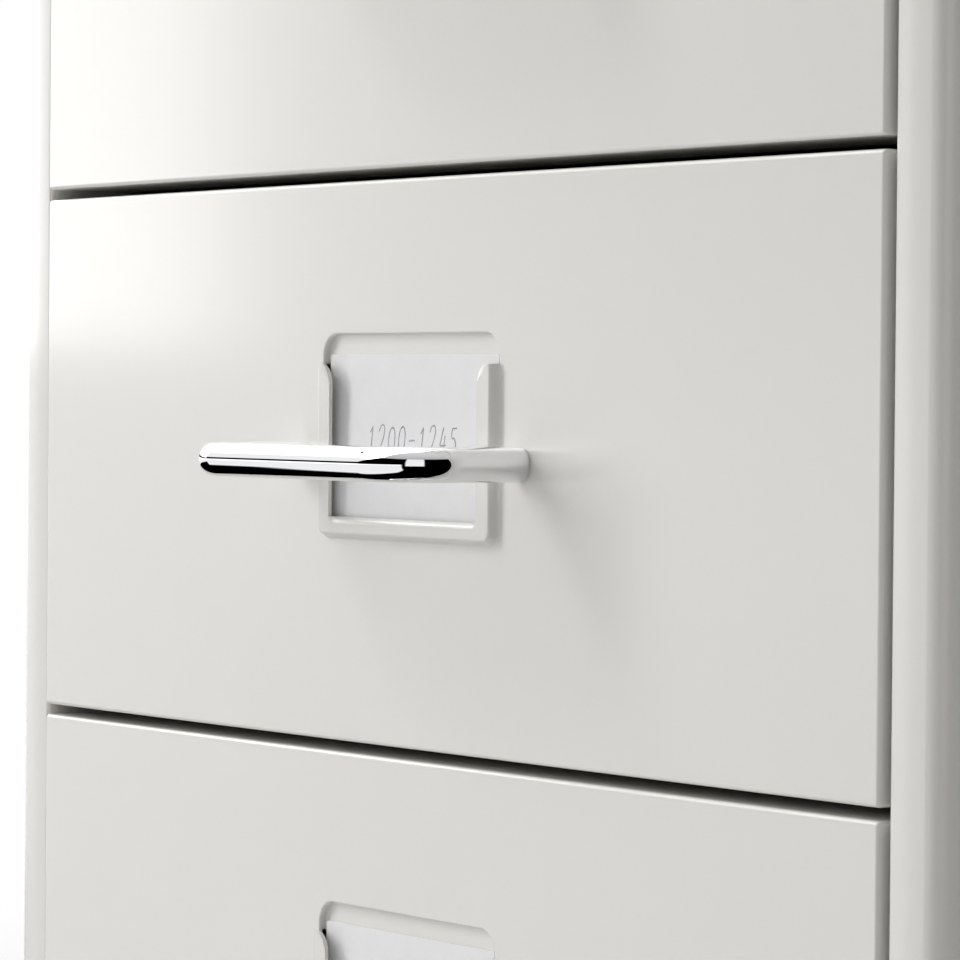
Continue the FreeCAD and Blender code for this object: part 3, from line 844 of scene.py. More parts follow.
class Solid:
    """A mesh that is put together from skins and prisms."""

    def __init__(self) -> None:
        """Starts an empty mesh."""
        self.mesh = bmesh.new()

    def rings(self, rows: Sequence[Sequence[Vector]]) -> "Solid":
        """Adds a skin through closed rings of points, with both ends closed.

        Args:
            rows: The rings, each with as many points.

        Returns:
            The solid itself.
        """
        made = [[self.mesh.verts.new(point) for point in row] for row in rows]
        grid(self.mesh, made, True)
        self.mesh.faces.new(made[0][::-1])
        self.mesh.faces.new(made[-1])
        return self

    def prism(
        self, outline: Sequence[Point], place: Callable[[float, float], Vector], travel: Vector
    ) -> "Solid":
        """Adds an extruded outline.

        Args:
            outline: Its points.
            place: Turns an outline's point into a point in space.
            travel: How far it is extruded.

        Returns:
            The solid itself.
        """
        low = [place(*point) for point in outline]
        return self.rings([low, [point + travel for point in low]])

    def upright(self, outline: Sequence[Point], low: float, high: float) -> "Solid":
        """Adds an outline seen from above, extruded between two heights."""
        return self.prism(outline, lambda x, y: Vector((x, y, low)), UP * (high - low))

    def build(
        self, name: str, edge_round: float, sharp: float = HARD_ANGLE, segments: int = 2
    ) -> Mesh:
        """Makes the mesh, with its hard edges rounded a little.

        Args:
            name: The mesh's name.
            edge_round: How far hard edges are rounded.
            sharp: Edges above this angle are hard.
            segments: Steps in each rounded edge.

        Returns:
            The mesh.
        """
        join_and_orient(self.mesh)
        inner = [edge for edge in self.mesh.edges if len(edge.link_faces) == 2]
        hard = [edge for edge in inner if edge.calc_face_angle() > sharp]
        return finished_mesh(self.mesh, name, hard, edge_round, sharp, segments)


class PressedSheet:
    """A pressed sheet, built from both of its skins at once.

    Each point is given as a pair, on the front skin and on the back skin. Pieces of skin
    whose front points meet are joined, and every free edge becomes a cut edge.
    """

    def __init__(self) -> None:
        """Starts an empty sheet."""
        self.mesh = bmesh.new()
        self.back = self.mesh.verts.layers.float_vector.new("back")
        self.rim = self.mesh.faces.layers.int.new("rim")

    def corner(self, pair: Pair) -> bmesh.types.BMVert:
        """Adds a front point that remembers its back point.

        Args:
            pair: The point on both skins.

        Returns:
            The front point's vertex.
        """
        vertex = self.mesh.verts.new(pair[0])
        vertex[self.back] = pair[1]
        return vertex

    def strip(self, rows: Sequence[Sequence[Pair]], closed: bool = False) -> None:
        """Adds a grid of skin.

        Args:
            rows: Rows of pairs, each as long.
            closed: Whether each row runs round.
        """
        grid(self.mesh, [[self.corner(pair) for pair in row] for row in rows], closed)

    def plate(self, loops: Sequence[Sequence[Pair]]) -> None:
        """Adds a flat stretch of skin.

        Args:
            loops: Its outline, and the outlines of its holes.
        """
        edges = []
        for loop in loops:
            kept = [p for i, p in enumerate(loop) if (p[0] - loop[i - 1][0]).length > MERGE_DISTANCE]
            made = [self.corner(pair) for pair in kept]
            edges += [self.mesh.edges.new((made[i - 1], made[i])) for i in range(len(made))]
        bmesh.ops.triangle_fill(self.mesh, use_beauty=True, use_dissolve=False, edges=edges)

    def build(self, name: str, edge_round: float) -> Mesh:
        """Closes the sheet and makes its mesh.

        Args:
            name: The mesh's name.
            edge_round: How far the cut edges are rounded.

        Returns:
            The mesh.
        """
        sheet, rim = self.mesh, self.rim
        join_and_orient(sheet)
        front_faces = list(sheet.faces)
        free_edges = [edge for edge in sheet.edges if len(edge.link_faces) == 1]
        twins = {v: sheet.verts.new(v[self.back]) for v in list(sheet.verts)}
        for face in front_faces:
            sheet.faces.new([twins[v] for v in reversed(face.verts)])
        for edge in free_edges:
            first, second = edge.verts
            sheet.faces.new((first, second, twins[second], twins[first]))[rim] = 1
        bmesh.ops.remove_doubles(sheet, verts=list(twins.values()), dist=MERGE_DISTANCE)
        bmesh.ops.dissolve_degenerate(sheet, dist=MERGE_DISTANCE, edges=sheet.edges)
        bmesh.ops.recalc_face_normals(sheet, faces=sheet.faces)
        inner = [edge for edge in sheet.edges if len(edge.link_faces) == 2]
        cut = [edge for edge in inner if edge.link_faces[0][rim] != edge.link_faces[1][rim]]
        return finished_mesh(sheet, name, cut, edge_round)


@dataclass
class Maker:
    """Puts finished pieces into the scene and reports them."""

    finishes: Finishes
    count: int = 0

    def put(
        self, name: str, mesh: Mesh, place: Vector, body: str, finish: str, slot: Slot,
        nodes: Sequence[str] = (),
    ) -> None:
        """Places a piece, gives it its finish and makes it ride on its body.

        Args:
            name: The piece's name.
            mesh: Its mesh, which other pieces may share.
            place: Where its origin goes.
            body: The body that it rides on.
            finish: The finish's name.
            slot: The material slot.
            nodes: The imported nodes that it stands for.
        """
        piece = bpy.data.objects.new(name, mesh)
        bpy.context.scene.collection.objects.link(piece)
        piece.location = place
        self.finishes.dress(piece, finish, slot)
        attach(piece, body)
        if nodes:
            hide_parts(*nodes)
        self.count += 1
        LOG.info("%s: %d faces on %s", name, len(mesh.polygons), body)

    def keep(self, node: str, finish: str, slot: Slot) -> None:
        """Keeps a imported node's shape and gives it a finish."""
        self.finishes.dress(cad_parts[node], finish, slot)
        LOG.info("%s: kept from the frame", node)


# Drawer


@dataclass
class Pocket:
    """Sizes of the label pocket. Heights are from the middle of the drawer front."""

    strap_half: float = 27.3 * MM
    strap_bottom: float = -13.5 * MM
    leg_top: float = 17.3 * MM
    rise: float = 1.6 * MM
    draft: float = 0.8 * MM
    strap_corner: float = 2.5 * MM
    foot_fillet: float = 0.6 * MM
    crest_fillet: float = 0.6 * MM
    opening_half: float = 22.8 * MM
    opening_bottom: float = -9.7 * MM
    leg_top_radius: float = 4.0 * MM
    leg_top_run: float = 3.0 * MM
    roll_radius: float = 1.3 * MM
    roll_fade: float = 1.5 * MM
    recess_half: float = 27.1 * MM
    recess_top: float = 22.6 * MM
    recess_depth: float = 1.2 * MM
    recess_corner: float = 4.1 * MM
    recess_lip: float = 0.35 * MM
    recess_fillet: float = 0.25 * MM
    tongue_gap: float = 0.3 * MM
    tongue_corner: float = 1.0 * MM


@dataclass
class DrawerFront:
    """The folded front of a drawer, with the label pocket pressed in it.

    A point of its face is given as x, height and rise: how far it stands out of the face.
    """

    half_width: float
    half_height: float
    depth: float = 18.0 * MM
    sheet: float = 0.7 * MM
    fold: float = 0.8 * MM
    cut_round: float = 0.1 * MM
    steps: int = 8
    pocket: Pocket = field(default_factory=Pocket)

    @staticmethod
    def at(x: float, height: float, rise: float) -> Vector:
        """A point in space from its place on the face and its rise."""
        return Vector((x, -rise, height))

    def flat(self, x: float, height: float, rise: float) -> Pair:
        """A pair of points where the sheet lies flat."""
        return self.at(x, height, rise), self.at(x, height, rise - self.sheet)

    def build(self) -> Mesh:
        """Builds the whole front, round the middle of its face.

        Returns:
            The mesh.
        """
        sheet = PressedSheet()
        self._folds(sheet)
        self._strap(sheet)
        self._roll(sheet)
        self._recess(sheet)
        self._face(sheet)
        return sheet.build("drawer_front_sheet", self.cut_round)

    def _sweep(
        self, sheet: PressedSheet, path: PointPairs, profile: PointPairs, closed: bool = False
    ) -> list[Pair]:
        """Carries a section of both skins along a path.

        Args:
            sheet: Where the skin goes.
            path: Points on the face with the way out.
            profile: Reach and rise of each point of the section, on both skins.
            closed: Whether the path runs round.

        Returns:
            The last row of pairs.
        """
        rows = [
            [
                tuple(self.at(*along(point, way, reach), rise) for reach, rise in pair)
                for point, way in path
            ]
            for pair in profile
        ]
        sheet.strip(rows, closed)
        return rows[-1]

    def _folds(self, sheet: PressedSheet) -> None:
        """The rounded fold round the face, and the returns behind it.

        Args:
            sheet: The sheet that gets it.
        """
        radii = (self.fold, max(self.fold - self.sheet, 0.0))
        profile = skins((0.0, -self.fold), radii, QUARTER, 0.0, self.steps)
        profile.append(tuple((radius, -self.depth) for radius in radii))
        path = []
        for k, (x, z) in enumerate(self._corners()):
            path += arc_ways((x, z), 0.0, k, self.steps)
        self._sweep(sheet, path, profile, closed=True)

    def _corners(self) -> list[Point]:
        """Corners of the flat of the face."""
        x, z = self.half_width - self.fold, self.half_height - self.fold
        return [(x, z), (-x, z), (-x, -z), (x, -z)]

    def _path(self, half: float, middle: float, radius: float, first: int, steps: int) -> PointPairs:
        """Points of an outline that rounds two corners on its way from foot to foot.

        Args:
            half: Half the outline's width.
            middle: Height of the middles of its corners.
            radius: Radius of its corners.
            first: Quarter of its first corner, 0 on top and 2 below.
            steps: Chords in each corner.

        Returns:
            The points with the ways out.
        """
        sign, foot = 1.0 - first, self.pocket.leg_top
        reach = sign * (half - radius)
        return [
            ((sign * half, foot), (sign, 0.0)),
            *arc_ways((reach, middle), radius, first, steps),
            *arc_ways((-reach, middle), radius, first + 1, steps),
            ((-sign * half, foot), (-sign, 0.0)),
        ]

    def _strap_path(self) -> PointPairs:
        """Points of the strap's outline with the way out, from the left leg to the right."""
        p, radius = self.pocket, self.pocket.strap_corner
        return self._path(p.strap_half, p.strap_bottom + radius, radius, 2, self.steps)

    def _strap_profile(self) -> PointPairs:
        """Section of the strap's wall: offset outwards and rise, on both skins.

        Returns:
            The section, from foot to crest.
        """
        p = self.pocket
        slope = math.atan2(p.rise, p.draft)
        foot, crest = (fillet * math.tan(slope / 2) for fillet in (p.foot_fillet, p.crest_fillet))
        radii = (p.foot_fillet, p.foot_fillet + self.sheet)
        section = skins((foot, p.foot_fillet), radii, -QUARTER, -QUARTER - slope, self.steps)
        middle = (-p.draft - crest, p.rise - p.crest_fillet)
        radii = (p.crest_fillet, p.crest_fillet - self.sheet)
        return section + skins(middle, radii, QUARTER - slope, QUARTER, self.steps)

    def _strap(self, sheet: PressedSheet) -> None:
        """The strap's wall and its flat front.

        Args:
            sheet: The sheet that gets it.
        """
        rise = self.pocket.rise
        crest = self._sweep(sheet, self._strap_path(), self._strap_profile())
        outline = [(pair[0].x, pair[0].z) for pair in crest] + self._opening_outline()
        sheet.plate([[self.flat(x, z, rise) for x, z in outline]])

    def _opening_outline(self) -> list[Point]:
        """The opening's edge in the strap's front, from its right leg's top to its left's.

        Returns:
            The points of the edge.
        """
        p = self.pocket
        run = p.leg_top_run / p.leg_top_radius
        turned = arc((0.0, 0.0), p.leg_top_radius, QUARTER, 2 * QUARTER, 2 * self.steps)
        middle = (p.opening_half + p.leg_top_run, p.leg_top - p.leg_top_radius)
        right = [(middle[0] + x * run, middle[1] + z) for x, z in turned]
        right += [(p.opening_half, z) for z, _ in reversed(self._roll_profile())]
        return right + [(-x, z) for x, z in reversed(right)]

    def _roll_profile(self) -> list[Point]:
        """Height of each step of the rolled edge with its turn, from the flat to the edge.

        Returns:
            The heights with their turns.
        """
        p = self.pocket
        low = p.opening_bottom - p.roll_radius
        angles = turns(0.0, QUARTER, self.steps)
        return [(low + p.roll_radius * math.sin(turn), turn) for turn in angles]

    def _roll(self, sheet: PressedSheet) -> None:
        """The opening's lower edge, curled in towards the card and faded at its ends.

        Args:
            sheet: The sheet that gets it.
        """
        p = self.pocket
        ends = [p.opening_half - p.roll_fade * i / self.steps for i in range(self.steps + 1)]
        low = p.opening_bottom - p.roll_radius
        inner = p.roll_radius - self.sheet
        rows = []
        for height, turn in self._roll_profile():
            row = []
            for x in sorted([-x for x in ends] + ends):
                share = min(1.0, (p.opening_half - abs(x)) / p.roll_fade)
                share = share * share * (3 - 2 * share)
                rise = p.rise - p.roll_radius * (1 - math.cos(turn)) * share
                back_height = low + (inner * share + p.roll_radius * (1 - share)) * math.sin(turn)
                curled = p.rise - p.roll_radius + inner * math.cos(turn)
                back_rise = curled * share + (p.rise - self.sheet) * (1 - share)
                row.append((self.at(x, height, rise), self.at(x, back_height, back_rise)))
            rows.append(row)
        sheet.strip(rows)

    def _recess_path(self) -> PointPairs:
        """Points of the recess's outline with the way out, from its right foot to its left."""
        p, radius = self.pocket, self.pocket.recess_corner
        return self._path(p.recess_half, p.recess_top - radius, radius, 0, 2 * self.steps)

    def _recess_profile(self) -> PointPairs:
        """Section of the recess's wall: offset outwards and rise, on both skins.

        Returns:
            The section, from lip to floor.
        """
        p = self.pocket
        lip = arc((p.recess_lip, -p.recess_lip), p.recess_lip, QUARTER, 2 * QUARTER, self.steps)
        middle = (-p.recess_fillet, p.recess_fillet - p.recess_depth)
        radii = (p.recess_fillet, p.recess_fillet + self.sheet)
        foot = skins(middle, radii, 0.0, -QUARTER, self.steps)
        return [(front, (self.sheet, -self.sheet)) for front in lip] + foot

    def _recess(self, sheet: PressedSheet) -> None:
        """The recess's wall, and its floor with the tongue that hangs from it.

        Args:
            sheet: The sheet that gets it.
        """
        p = self.pocket
        wall = self._sweep(sheet, self._recess_path(), self._recess_profile())
        half = p.opening_half - p.tongue_gap
        foot = p.opening_bottom + p.tongue_gap
        tongue = rounded(
            [(-half, p.leg_top), (-half, foot), (half, foot), (half, p.leg_top)],
            [0.0, p.tongue_corner, p.tongue_corner, 0.0],
        )
        outline = [(pair[0].x, pair[0].z) for pair in wall] + tongue
        sheet.plate([[self.flat(x, z, -p.recess_depth) for x, z in outline]])

    def _face(self, sheet: PressedSheet) -> None:
        """The flat of the face round the pocket.

        Args:
            sheet: The sheet that gets it.
        """
        lip = self.pocket.recess_lip
        outline = [self.flat(x, z, 0.0) for x, z in self._corners()]
        foot = self._strap_profile()[0][0][0]
        hole = [self.flat(*along(point, way, foot), 0.0) for point, way in self._strap_path()]
        for point, way in self._recess_path():
            front, back = along(point, way, lip), along(point, way, self.sheet)
            hole.append((self.at(*front, 0.0), self.at(*back, -self.sheet)))
        sheet.plate([outline, hole])


@dataclass
class BowHandle:
    """A round bar bent to a bow, round the middle of the drawer front's face."""

    bar_radius: float
    half_span: float
    reach: float
    raise_by: float
    bend: float = 10.0 * MM
    bend_steps: int = 28
    sides: int = 56
    foot_round: float = 0.25 * MM
    foot_steps: int = 3
    sharp: float = math.radians(60)

    def build(self) -> Mesh:
        """Builds the bow.

        Returns:
            The mesh.
        """
        circle = [heading(4 * QUARTER * i / self.sides) for i in range(self.sides)]
        rings = [
            [point + (way.cross(UP) * out + UP * up) * self.bar_radius for out, up in circle]
            for point, way in self._line()
        ]
        return Solid().rings(rings).build("bow_handle", self.foot_round, self.sharp, self.foot_steps)

    def _line(self) -> list[tuple[Vector, Vector]]:
        """Points of the bar's middle line with their direction, from left foot to right.

        Returns:
            The points with their directions.
        """
        span, bend = self.half_span, self.bend
        plan = [((-span, 0.0), 0.0)]
        for k, x in enumerate((bend - span, span - bend)):
            for turn in turns(k * QUARTER, (k + 1) * QUARTER, self.bend_steps):
                centre = (x, bend + self.bar_radius - self.reach)
                plan.append((along(centre, heading(turn + 2 * QUARTER), bend), turn))
        plan.append(((span, 0.0), 2 * QUARTER))
        return [
            (Vector((*spot, self.raise_by)), Vector((*heading(turn - QUARTER), 0)))
            for spot, turn in plan
        ]


DIGIT_STROKES: dict[str, list[list[Point]]] = {
    "0": [[
        (0.55, 1.0), (0.12, 0.95), (0.02, 0.3), (0.4, -0.05), (0.85, 0.1), (0.98, 0.75),
        (0.6, 1.05), (0.38, 0.93),
    ]],
    "1": [[(0.25, 0.78), (0.5, 0.95), (0.58, 1.02), (0.5, 0.5), (0.42, 0.0)]],
    "2": [[
        (0.08, 0.8), (0.2, 1.02), (0.8, 1.05), (0.85, 0.7), (0.45, 0.3), (0.05, 0.0),
        (0.5, 0.05), (0.95, 0.0),
    ]],
    "3": [[
        (0.12, 0.93), (0.5, 1.05), (0.95, 0.9), (0.35, 0.52), (0.95, 0.5), (0.9, 0.0),
        (0.4, -0.05), (0.08, 0.1),
    ]],
    "4": [
        [(0.5, 1.0), (0.2, 0.5), (0.1, 0.36), (0.5, 0.38), (0.95, 0.4)],
        [(0.75, 0.72), (0.66, 0.3), (0.62, -0.02)],
    ],
    "5": [[
        (0.9, 1.0), (0.5, 0.98), (0.25, 0.98), (0.2, 0.6), (0.65, 0.68), (0.95, 0.3),
        (0.6, -0.05), (0.12, 0.05),
    ]],
    "9": [[
        (0.85, 0.9), (0.45, 1.08), (0.1, 0.8), (0.35, 0.45), (0.85, 0.65), (0.88, 0.95),
        (0.8, 0.4), (0.6, 0.0),
    ]],
    "-": [[(0.1, 0.5), (0.5, 0.53), (0.9, 0.52)]],
}


@dataclass
class LabelCard:
    """Paper card that leans in the pocket, with a number range in pencil."""

    low: Vector
    high: Vector
    thickness: float = 0.35 * MM
    corner: float = 0.4 * MM
    edge_round: float = 0.04 * MM
    sharp: float = math.radians(50)
    first_number: int = 1100
    numbers_per_drawer: int = 50
    number_step: int = 5
    digit_width: float = 2.2 * MM
    digit_height: float = 5.0 * MM
    digit_pitch: float = 3.15 * MM
    line_low: float = 1.4 * MM
    line_middle: float = 0.2 * MM
    lift: float = 0.12 * MM
    lift_turn: float = 2.3
    stroke: float = 0.15 * MM
    stroke_depth_share: float = 0.25
    stroke_order: int = 3
    stroke_steps: int = 5
    slant: float = 0.08

    def card(self) -> Mesh:
        """Builds the card, in the frame's place.

        Returns:
            The mesh.
        """
        low, high = self.low, self.high
        square = [(low.x, low.z), (high.x, low.z), (high.x, high.z), (low.x, high.z)]
        outline = rounded(square, [self.corner] * len(square))
        solid = Solid().prism(outline, self.on_card, Vector((0, self.thickness, 0)))
        return solid.build("label_card", self.edge_round, self.sharp)

    def on_card(self, x: float, z: float) -> Vector:
        """The point of the card's front at a place seen from the front.

        Args:
            x: The place along X.
            z: Its height.

        Returns:
            The point.
        """
        share = (z - self.low.z) / (self.high.z - self.low.z)
        start, end = self.low.y, self.high.y - self.thickness
        return Vector((x, start + (end - start) * share, z))

    def number(self, drawer: int) -> str:
        """The number range on the card of a drawer."""
        first = self.first_number + (drawer - 1) * self.numbers_per_drawer
        return "%d-%d" % (first, first + self.numbers_per_drawer - self.number_step)

    def writing(self, text: str, middle_z: float) -> Mesh:
        """Builds the pencil strokes of a text on the card.

        Args:
            text: Digits and dashes.
            middle_z: Height of the middle of the drawer front.

        Returns:
            The strokes' mesh.
        """
        curve = bpy.data.curves.new("pencil_line", "CURVE")
        curve.dimensions = "3D"
        curve.bevel_depth = self.stroke
        curve.bevel_resolution = 1
        curve.use_fill_caps = True
        left = self.line_middle - (self.digit_pitch * (len(text) - 1) + self.digit_width) / 2
        for i, letter in enumerate(text):
            lift = self.lift * math.sin(self.lift_turn * i)
            for shares in DIGIT_STROKES[letter]:
                spline = curve.splines.new("NURBS")
                spline.points.add(len(shares) - 1)
                for point, (across, upward) in zip(spline.points, shares):
                    x = left + i * self.digit_pitch + across * self.digit_width
                    rise = lift + upward * self.digit_height
                    point.co = (x + self.slant * rise, 0.0, self.line_low + rise, 1.0)
                spline.order_u = self.stroke_order
                spline.use_endpoint_u = True
                spline.resolution_u = self.stroke_steps
        mesh = evaluated(curve)
        for vertex in mesh.vertices:
            spot = self.on_card(vertex.co.x, vertex.co.z + middle_z)
            spot.y += vertex.co.y * self.stroke_depth_share
            vertex.co = spot
        mesh.shade_smooth()
        return mesh


@dataclass
class Drawers:
    """All drawers of the cabinet."""

    maker: Maker
    count: int = 6

    def build(self) -> None:
        """Builds every drawer from one set of meshes."""
        low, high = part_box("drawer_1_front")
        bow_low, bow_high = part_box("drawer_1_handle")
        front = DrawerFront(high.x, (high.z - low.z) / 2).build()
        bar = (bow_high.z - bow_low.z) / 2
        raise_by = (bow_high.z + bow_low.z - high.z - low.z) / 2
        bow = BowHandle(bar, bow_high.x - bar, bow_high.y - bow_low.y, raise_by).build()
        for number in range(1, self.count + 1):
            self._drawer(number, bow_high.y, front, bow)

    def _drawer(self, number: int, face_y: float, front: Mesh, bow: Mesh) -> None:
        """Places the pieces of one drawer.

        Args:
            number: Its number, from the top.
            face_y: Where its face is.
            front: The front's mesh.
            bow: The handle's mesh.
        """
        body = "drawer_%d" % number
        front_node, bow_node, card_node = body + "_front", body + "_handle", body + "_label_card"
        low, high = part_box(front_node)
        middle = (low.z + high.z) / 2
        place = Vector((0, face_y, middle))
        card = LabelCard(*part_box(card_node))
        put = self.maker.put
        put(body + "_front_sheet", front, place, body, "powder_coat", Slot.CABINET, [front_node])
        put(body + "_bow", bow, place, body, "chrome_plate", Slot.HANDLE, [bow_node])
        put(body + "_card", card.card(), ORIGIN, body, "card_paper", Slot.CARD, [card_node])
        writing = card.writing(card.number(number), middle)
        put(body + "_card_number", writing, ORIGIN, body, "pencil_lead", Slot.CARD)
        self.maker.keep(body + "_tray", "tray_paint", Slot.TRAY)
        self.maker.keep(body + "_handle_screws", "zinc_plate", Slot.SCREW)


# Carcass


@dataclass
class SidePanels:
    """The two side panels, each with its rounded front post and rear flange."""

    maker: Maker
    sheet: float = 0.8 * MM
    post_width: float = 12.0 * MM
    post_return: float = 18.0 * MM
    crest_inset: float = 4.5 * MM
    crown: float = 0.9 * MM
    corner_setback: float = 0.6 * MM
    fold_radius: float = 0.9 * MM
    corner_radius: float = 4.5 * MM
    crown_share: float = 0.98
    rear_radius: float = 1.8 * MM
    rear_flange: float = 14.0 * MM
    end_flange: float = 12.0 * MM
    cut_round: float = 0.15 * MM

    def build(self) -> None:
        """Builds both panels."""
        for side in Side:
            name = "side_panel_" + side.name.lower()
            mesh = self._panel(side.value, *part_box(name))
            finish = ("powder_coat", Slot.CABINET, [name])
            self.maker.put(name + "_sheet", mesh, ORIGIN, "cabinet", *finish)

    def _panel(self, sign: int, low: Vector, high: Vector) -> Mesh:
        """Builds one panel, in its place.

        Args:
            sign: Its side of the cabinet along X.
            low: The lower corner of its box.
            high: The upper corner of its box.

        Returns:
            The mesh.
        """
        half, rear = max(abs(low.x), abs(high.x)), high.y
        outer_run = self.post_width - self.crest_inset
        outer_fall = self.crown + self.corner_setback
        inner_slope = math.atan2(self.crown, self.crest_inset)
        outer_slope = math.atan2(outer_fall, outer_run)
        half_turn = (inner_slope + outer_slope) / 2
        inner_leg = math.hypot(self.crest_inset, self.crown)
        inner_leg -= self.fold_radius * math.tan((QUARTER - inner_slope) / 2)
        outer_leg = math.hypot(outer_run, outer_fall)
        outer_leg -= self.corner_radius * math.tan((QUARTER - outer_slope) / 2)
        crown_radius = min(inner_leg, outer_leg) / math.tan(half_turn) * self.crown_share
        lean = (outer_slope - inner_slope) / 2
        edge = low.y + crown_radius * (1 - math.cos(lean) / math.cos(half_turn)) + self.crown
        inner, back = half - self.post_width, edge + self.post_return
        path = [
            (inner, back), (inner, edge), (inner + self.crest_inset, edge - self.crown),
            (half, edge + self.corner_setback), (half, rear), (half - self.rear_flange, rear),
        ]
        radii = (self.fold_radius, crown_radius, self.corner_radius, self.rear_radius)
        outline = bent_sheet(path, self.sheet, [radius - self.sheet for radius in radii])
        solid = Solid().upright([(sign * x, y) for x, y in outline], low.z, high.z)
        near, far = sign * (half - self.sheet), sign * (half - self.end_flange)
        end = rear - self.sheet
        for z in (low.z, high.z - self.sheet):
            solid.upright([(near, back), (far, back), (far, end), (near, end)], z, z + self.sheet)
        return solid.build("side_panel", self.cut_round)


@dataclass
class Pans:
    """The top and bottom pans: shallow trays of sheet with rounded edges and a turned-in lip."""

    maker: Maker
    sheet: float = 0.8 * MM
    lip: float = 12.0 * MM
    front_corner: float = 4.5 * MM
    rear_corner: float = 1.6 * MM
    edge: float = 2.0 * MM
    lip_fold: float = 1.6 * MM
    steps: int = 8
    cut_round: float = 0.15 * MM

    def build(self) -> None:
        """Builds both pans."""
        for name, upward in (("top_panel", 1), ("bottom_panel", -1)):
            mesh = self._pan(*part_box(name), upward)
            finish = ("powder_coat", Slot.CABINET, [name])
            self.maker.put(name + "_pan", mesh, ORIGIN, "cabinet", *finish)

    def _pan(self, low: Vector, high: Vector, upward: int) -> Mesh:
        """Builds one pan, in its place.

        Args:
            low: The lower corner of its box.
            high: The upper corner of its box.
            upward: 1 where its closed side looks up, and -1 where it looks down.

        Returns:
            The mesh.
        """
        closed = high.z if upward > 0 else low.z
        height = high.z - low.z
        edge, fold = self.edge, self.lip_fold
        profile = [
            *skins((-edge, -edge), (edge, edge - self.sheet), QUARTER, 0.0, self.steps),
            *skins((-fold, fold - height), (fold, fold - self.sheet), 0.0, -QUARTER, self.steps),
            ((-self.lip, -height), (-self.lip, self.sheet - height)),
        ]
        footprint = self._footprint(low, high)
        rows = [
            [
                tuple(self._at(*spot, reach, closed + upward * rise) for reach, rise in pair)
                for spot in footprint
            ]
            for pair in profile
        ]
        pan = PressedSheet()
        pan.strip(rows, closed=True)
        pan.plate([rows[0]])
        return pan.build("pan", self.cut_round)

    def _footprint(self, low: Vector, high: Vector) -> list[tuple[Point, Point, float]]:
        """Corner centres of the footprint with the ways out and the corner's radius.

        Args:
            low: The lower corner of the pan's box.
            high: The upper corner of its box.

        Returns:
            The centres with their ways out and radii.
        """
        corners = (
            (high.x, high.y, self.rear_corner), (low.x, high.y, self.rear_corner),
            (low.x, low.y, self.front_corner), (high.x, low.y, self.front_corner),
        )
        result = []
        for k, (x, y, radius) in enumerate(corners):
            centre = (x - math.copysign(radius, x), y - math.copysign(radius, y))
            ways = arc_ways(centre, radius, k, self.steps)
            result += [(centre, way, radius) for _, way in ways]
        return result

    def _at(self, centre: Point, way: Point, radius: float, reach: float, z: float) -> Vector:
        """A point at a height and a reach outside the footprint, square far inside it.

        Args:
            centre: Middle of the footprint's corner.
            way: The way out.
            radius: The corner's radius.
            reach: How far outside the footprint it is.
            z: Its height.

        Returns:
            The point.
        """
        if radius + reach < 0:
            way = (math.copysign(1.0, centre[0]), math.copysign(1.0, centre[1]))
        return Vector((*along(centre, way, radius + reach), z))


@dataclass
class Carcass:
    """The fixed body of the cabinet."""

    maker: Maker

    def build(self) -> None:
        """Builds the panels and dresses what is kept from the frame."""
        SidePanels(self.maker).build()
        Pans(self.maker).build()
        self.maker.keep("back_panel", "powder_coat", Slot.CABINET)
        self.maker.keep("back_screws", "zinc_plate", Slot.SCREW)
        for side in Side:
            self.maker.keep("runners_" + side.name.lower(), "zinc_plate", Slot.RUNNER)


@dataclass
class Castors:
    """The four swivel castors."""

    maker: Maker
    corners: tuple[str, ...] = ("front_left", "front_right", "rear_left", "rear_right")

    def build(self) -> None:
        """Dresses the castors."""
        self.maker.keep("castor_stems", "zinc_plate", Slot.CASTOR)
        self.maker.keep("castor_nuts", "zinc_plate", Slot.CASTOR)
        for corner in self.corners:
            self.maker.keep("castor_%s_fork" % corner, "zinc_plate", Slot.CASTOR)
            self.maker.keep("castor_%s_axle" % corner, "zinc_plate", Slot.CASTOR)
            self.maker.keep("castor_%s_wheel" % corner, "tread_rubber", Slot.WHEEL)


# Studio


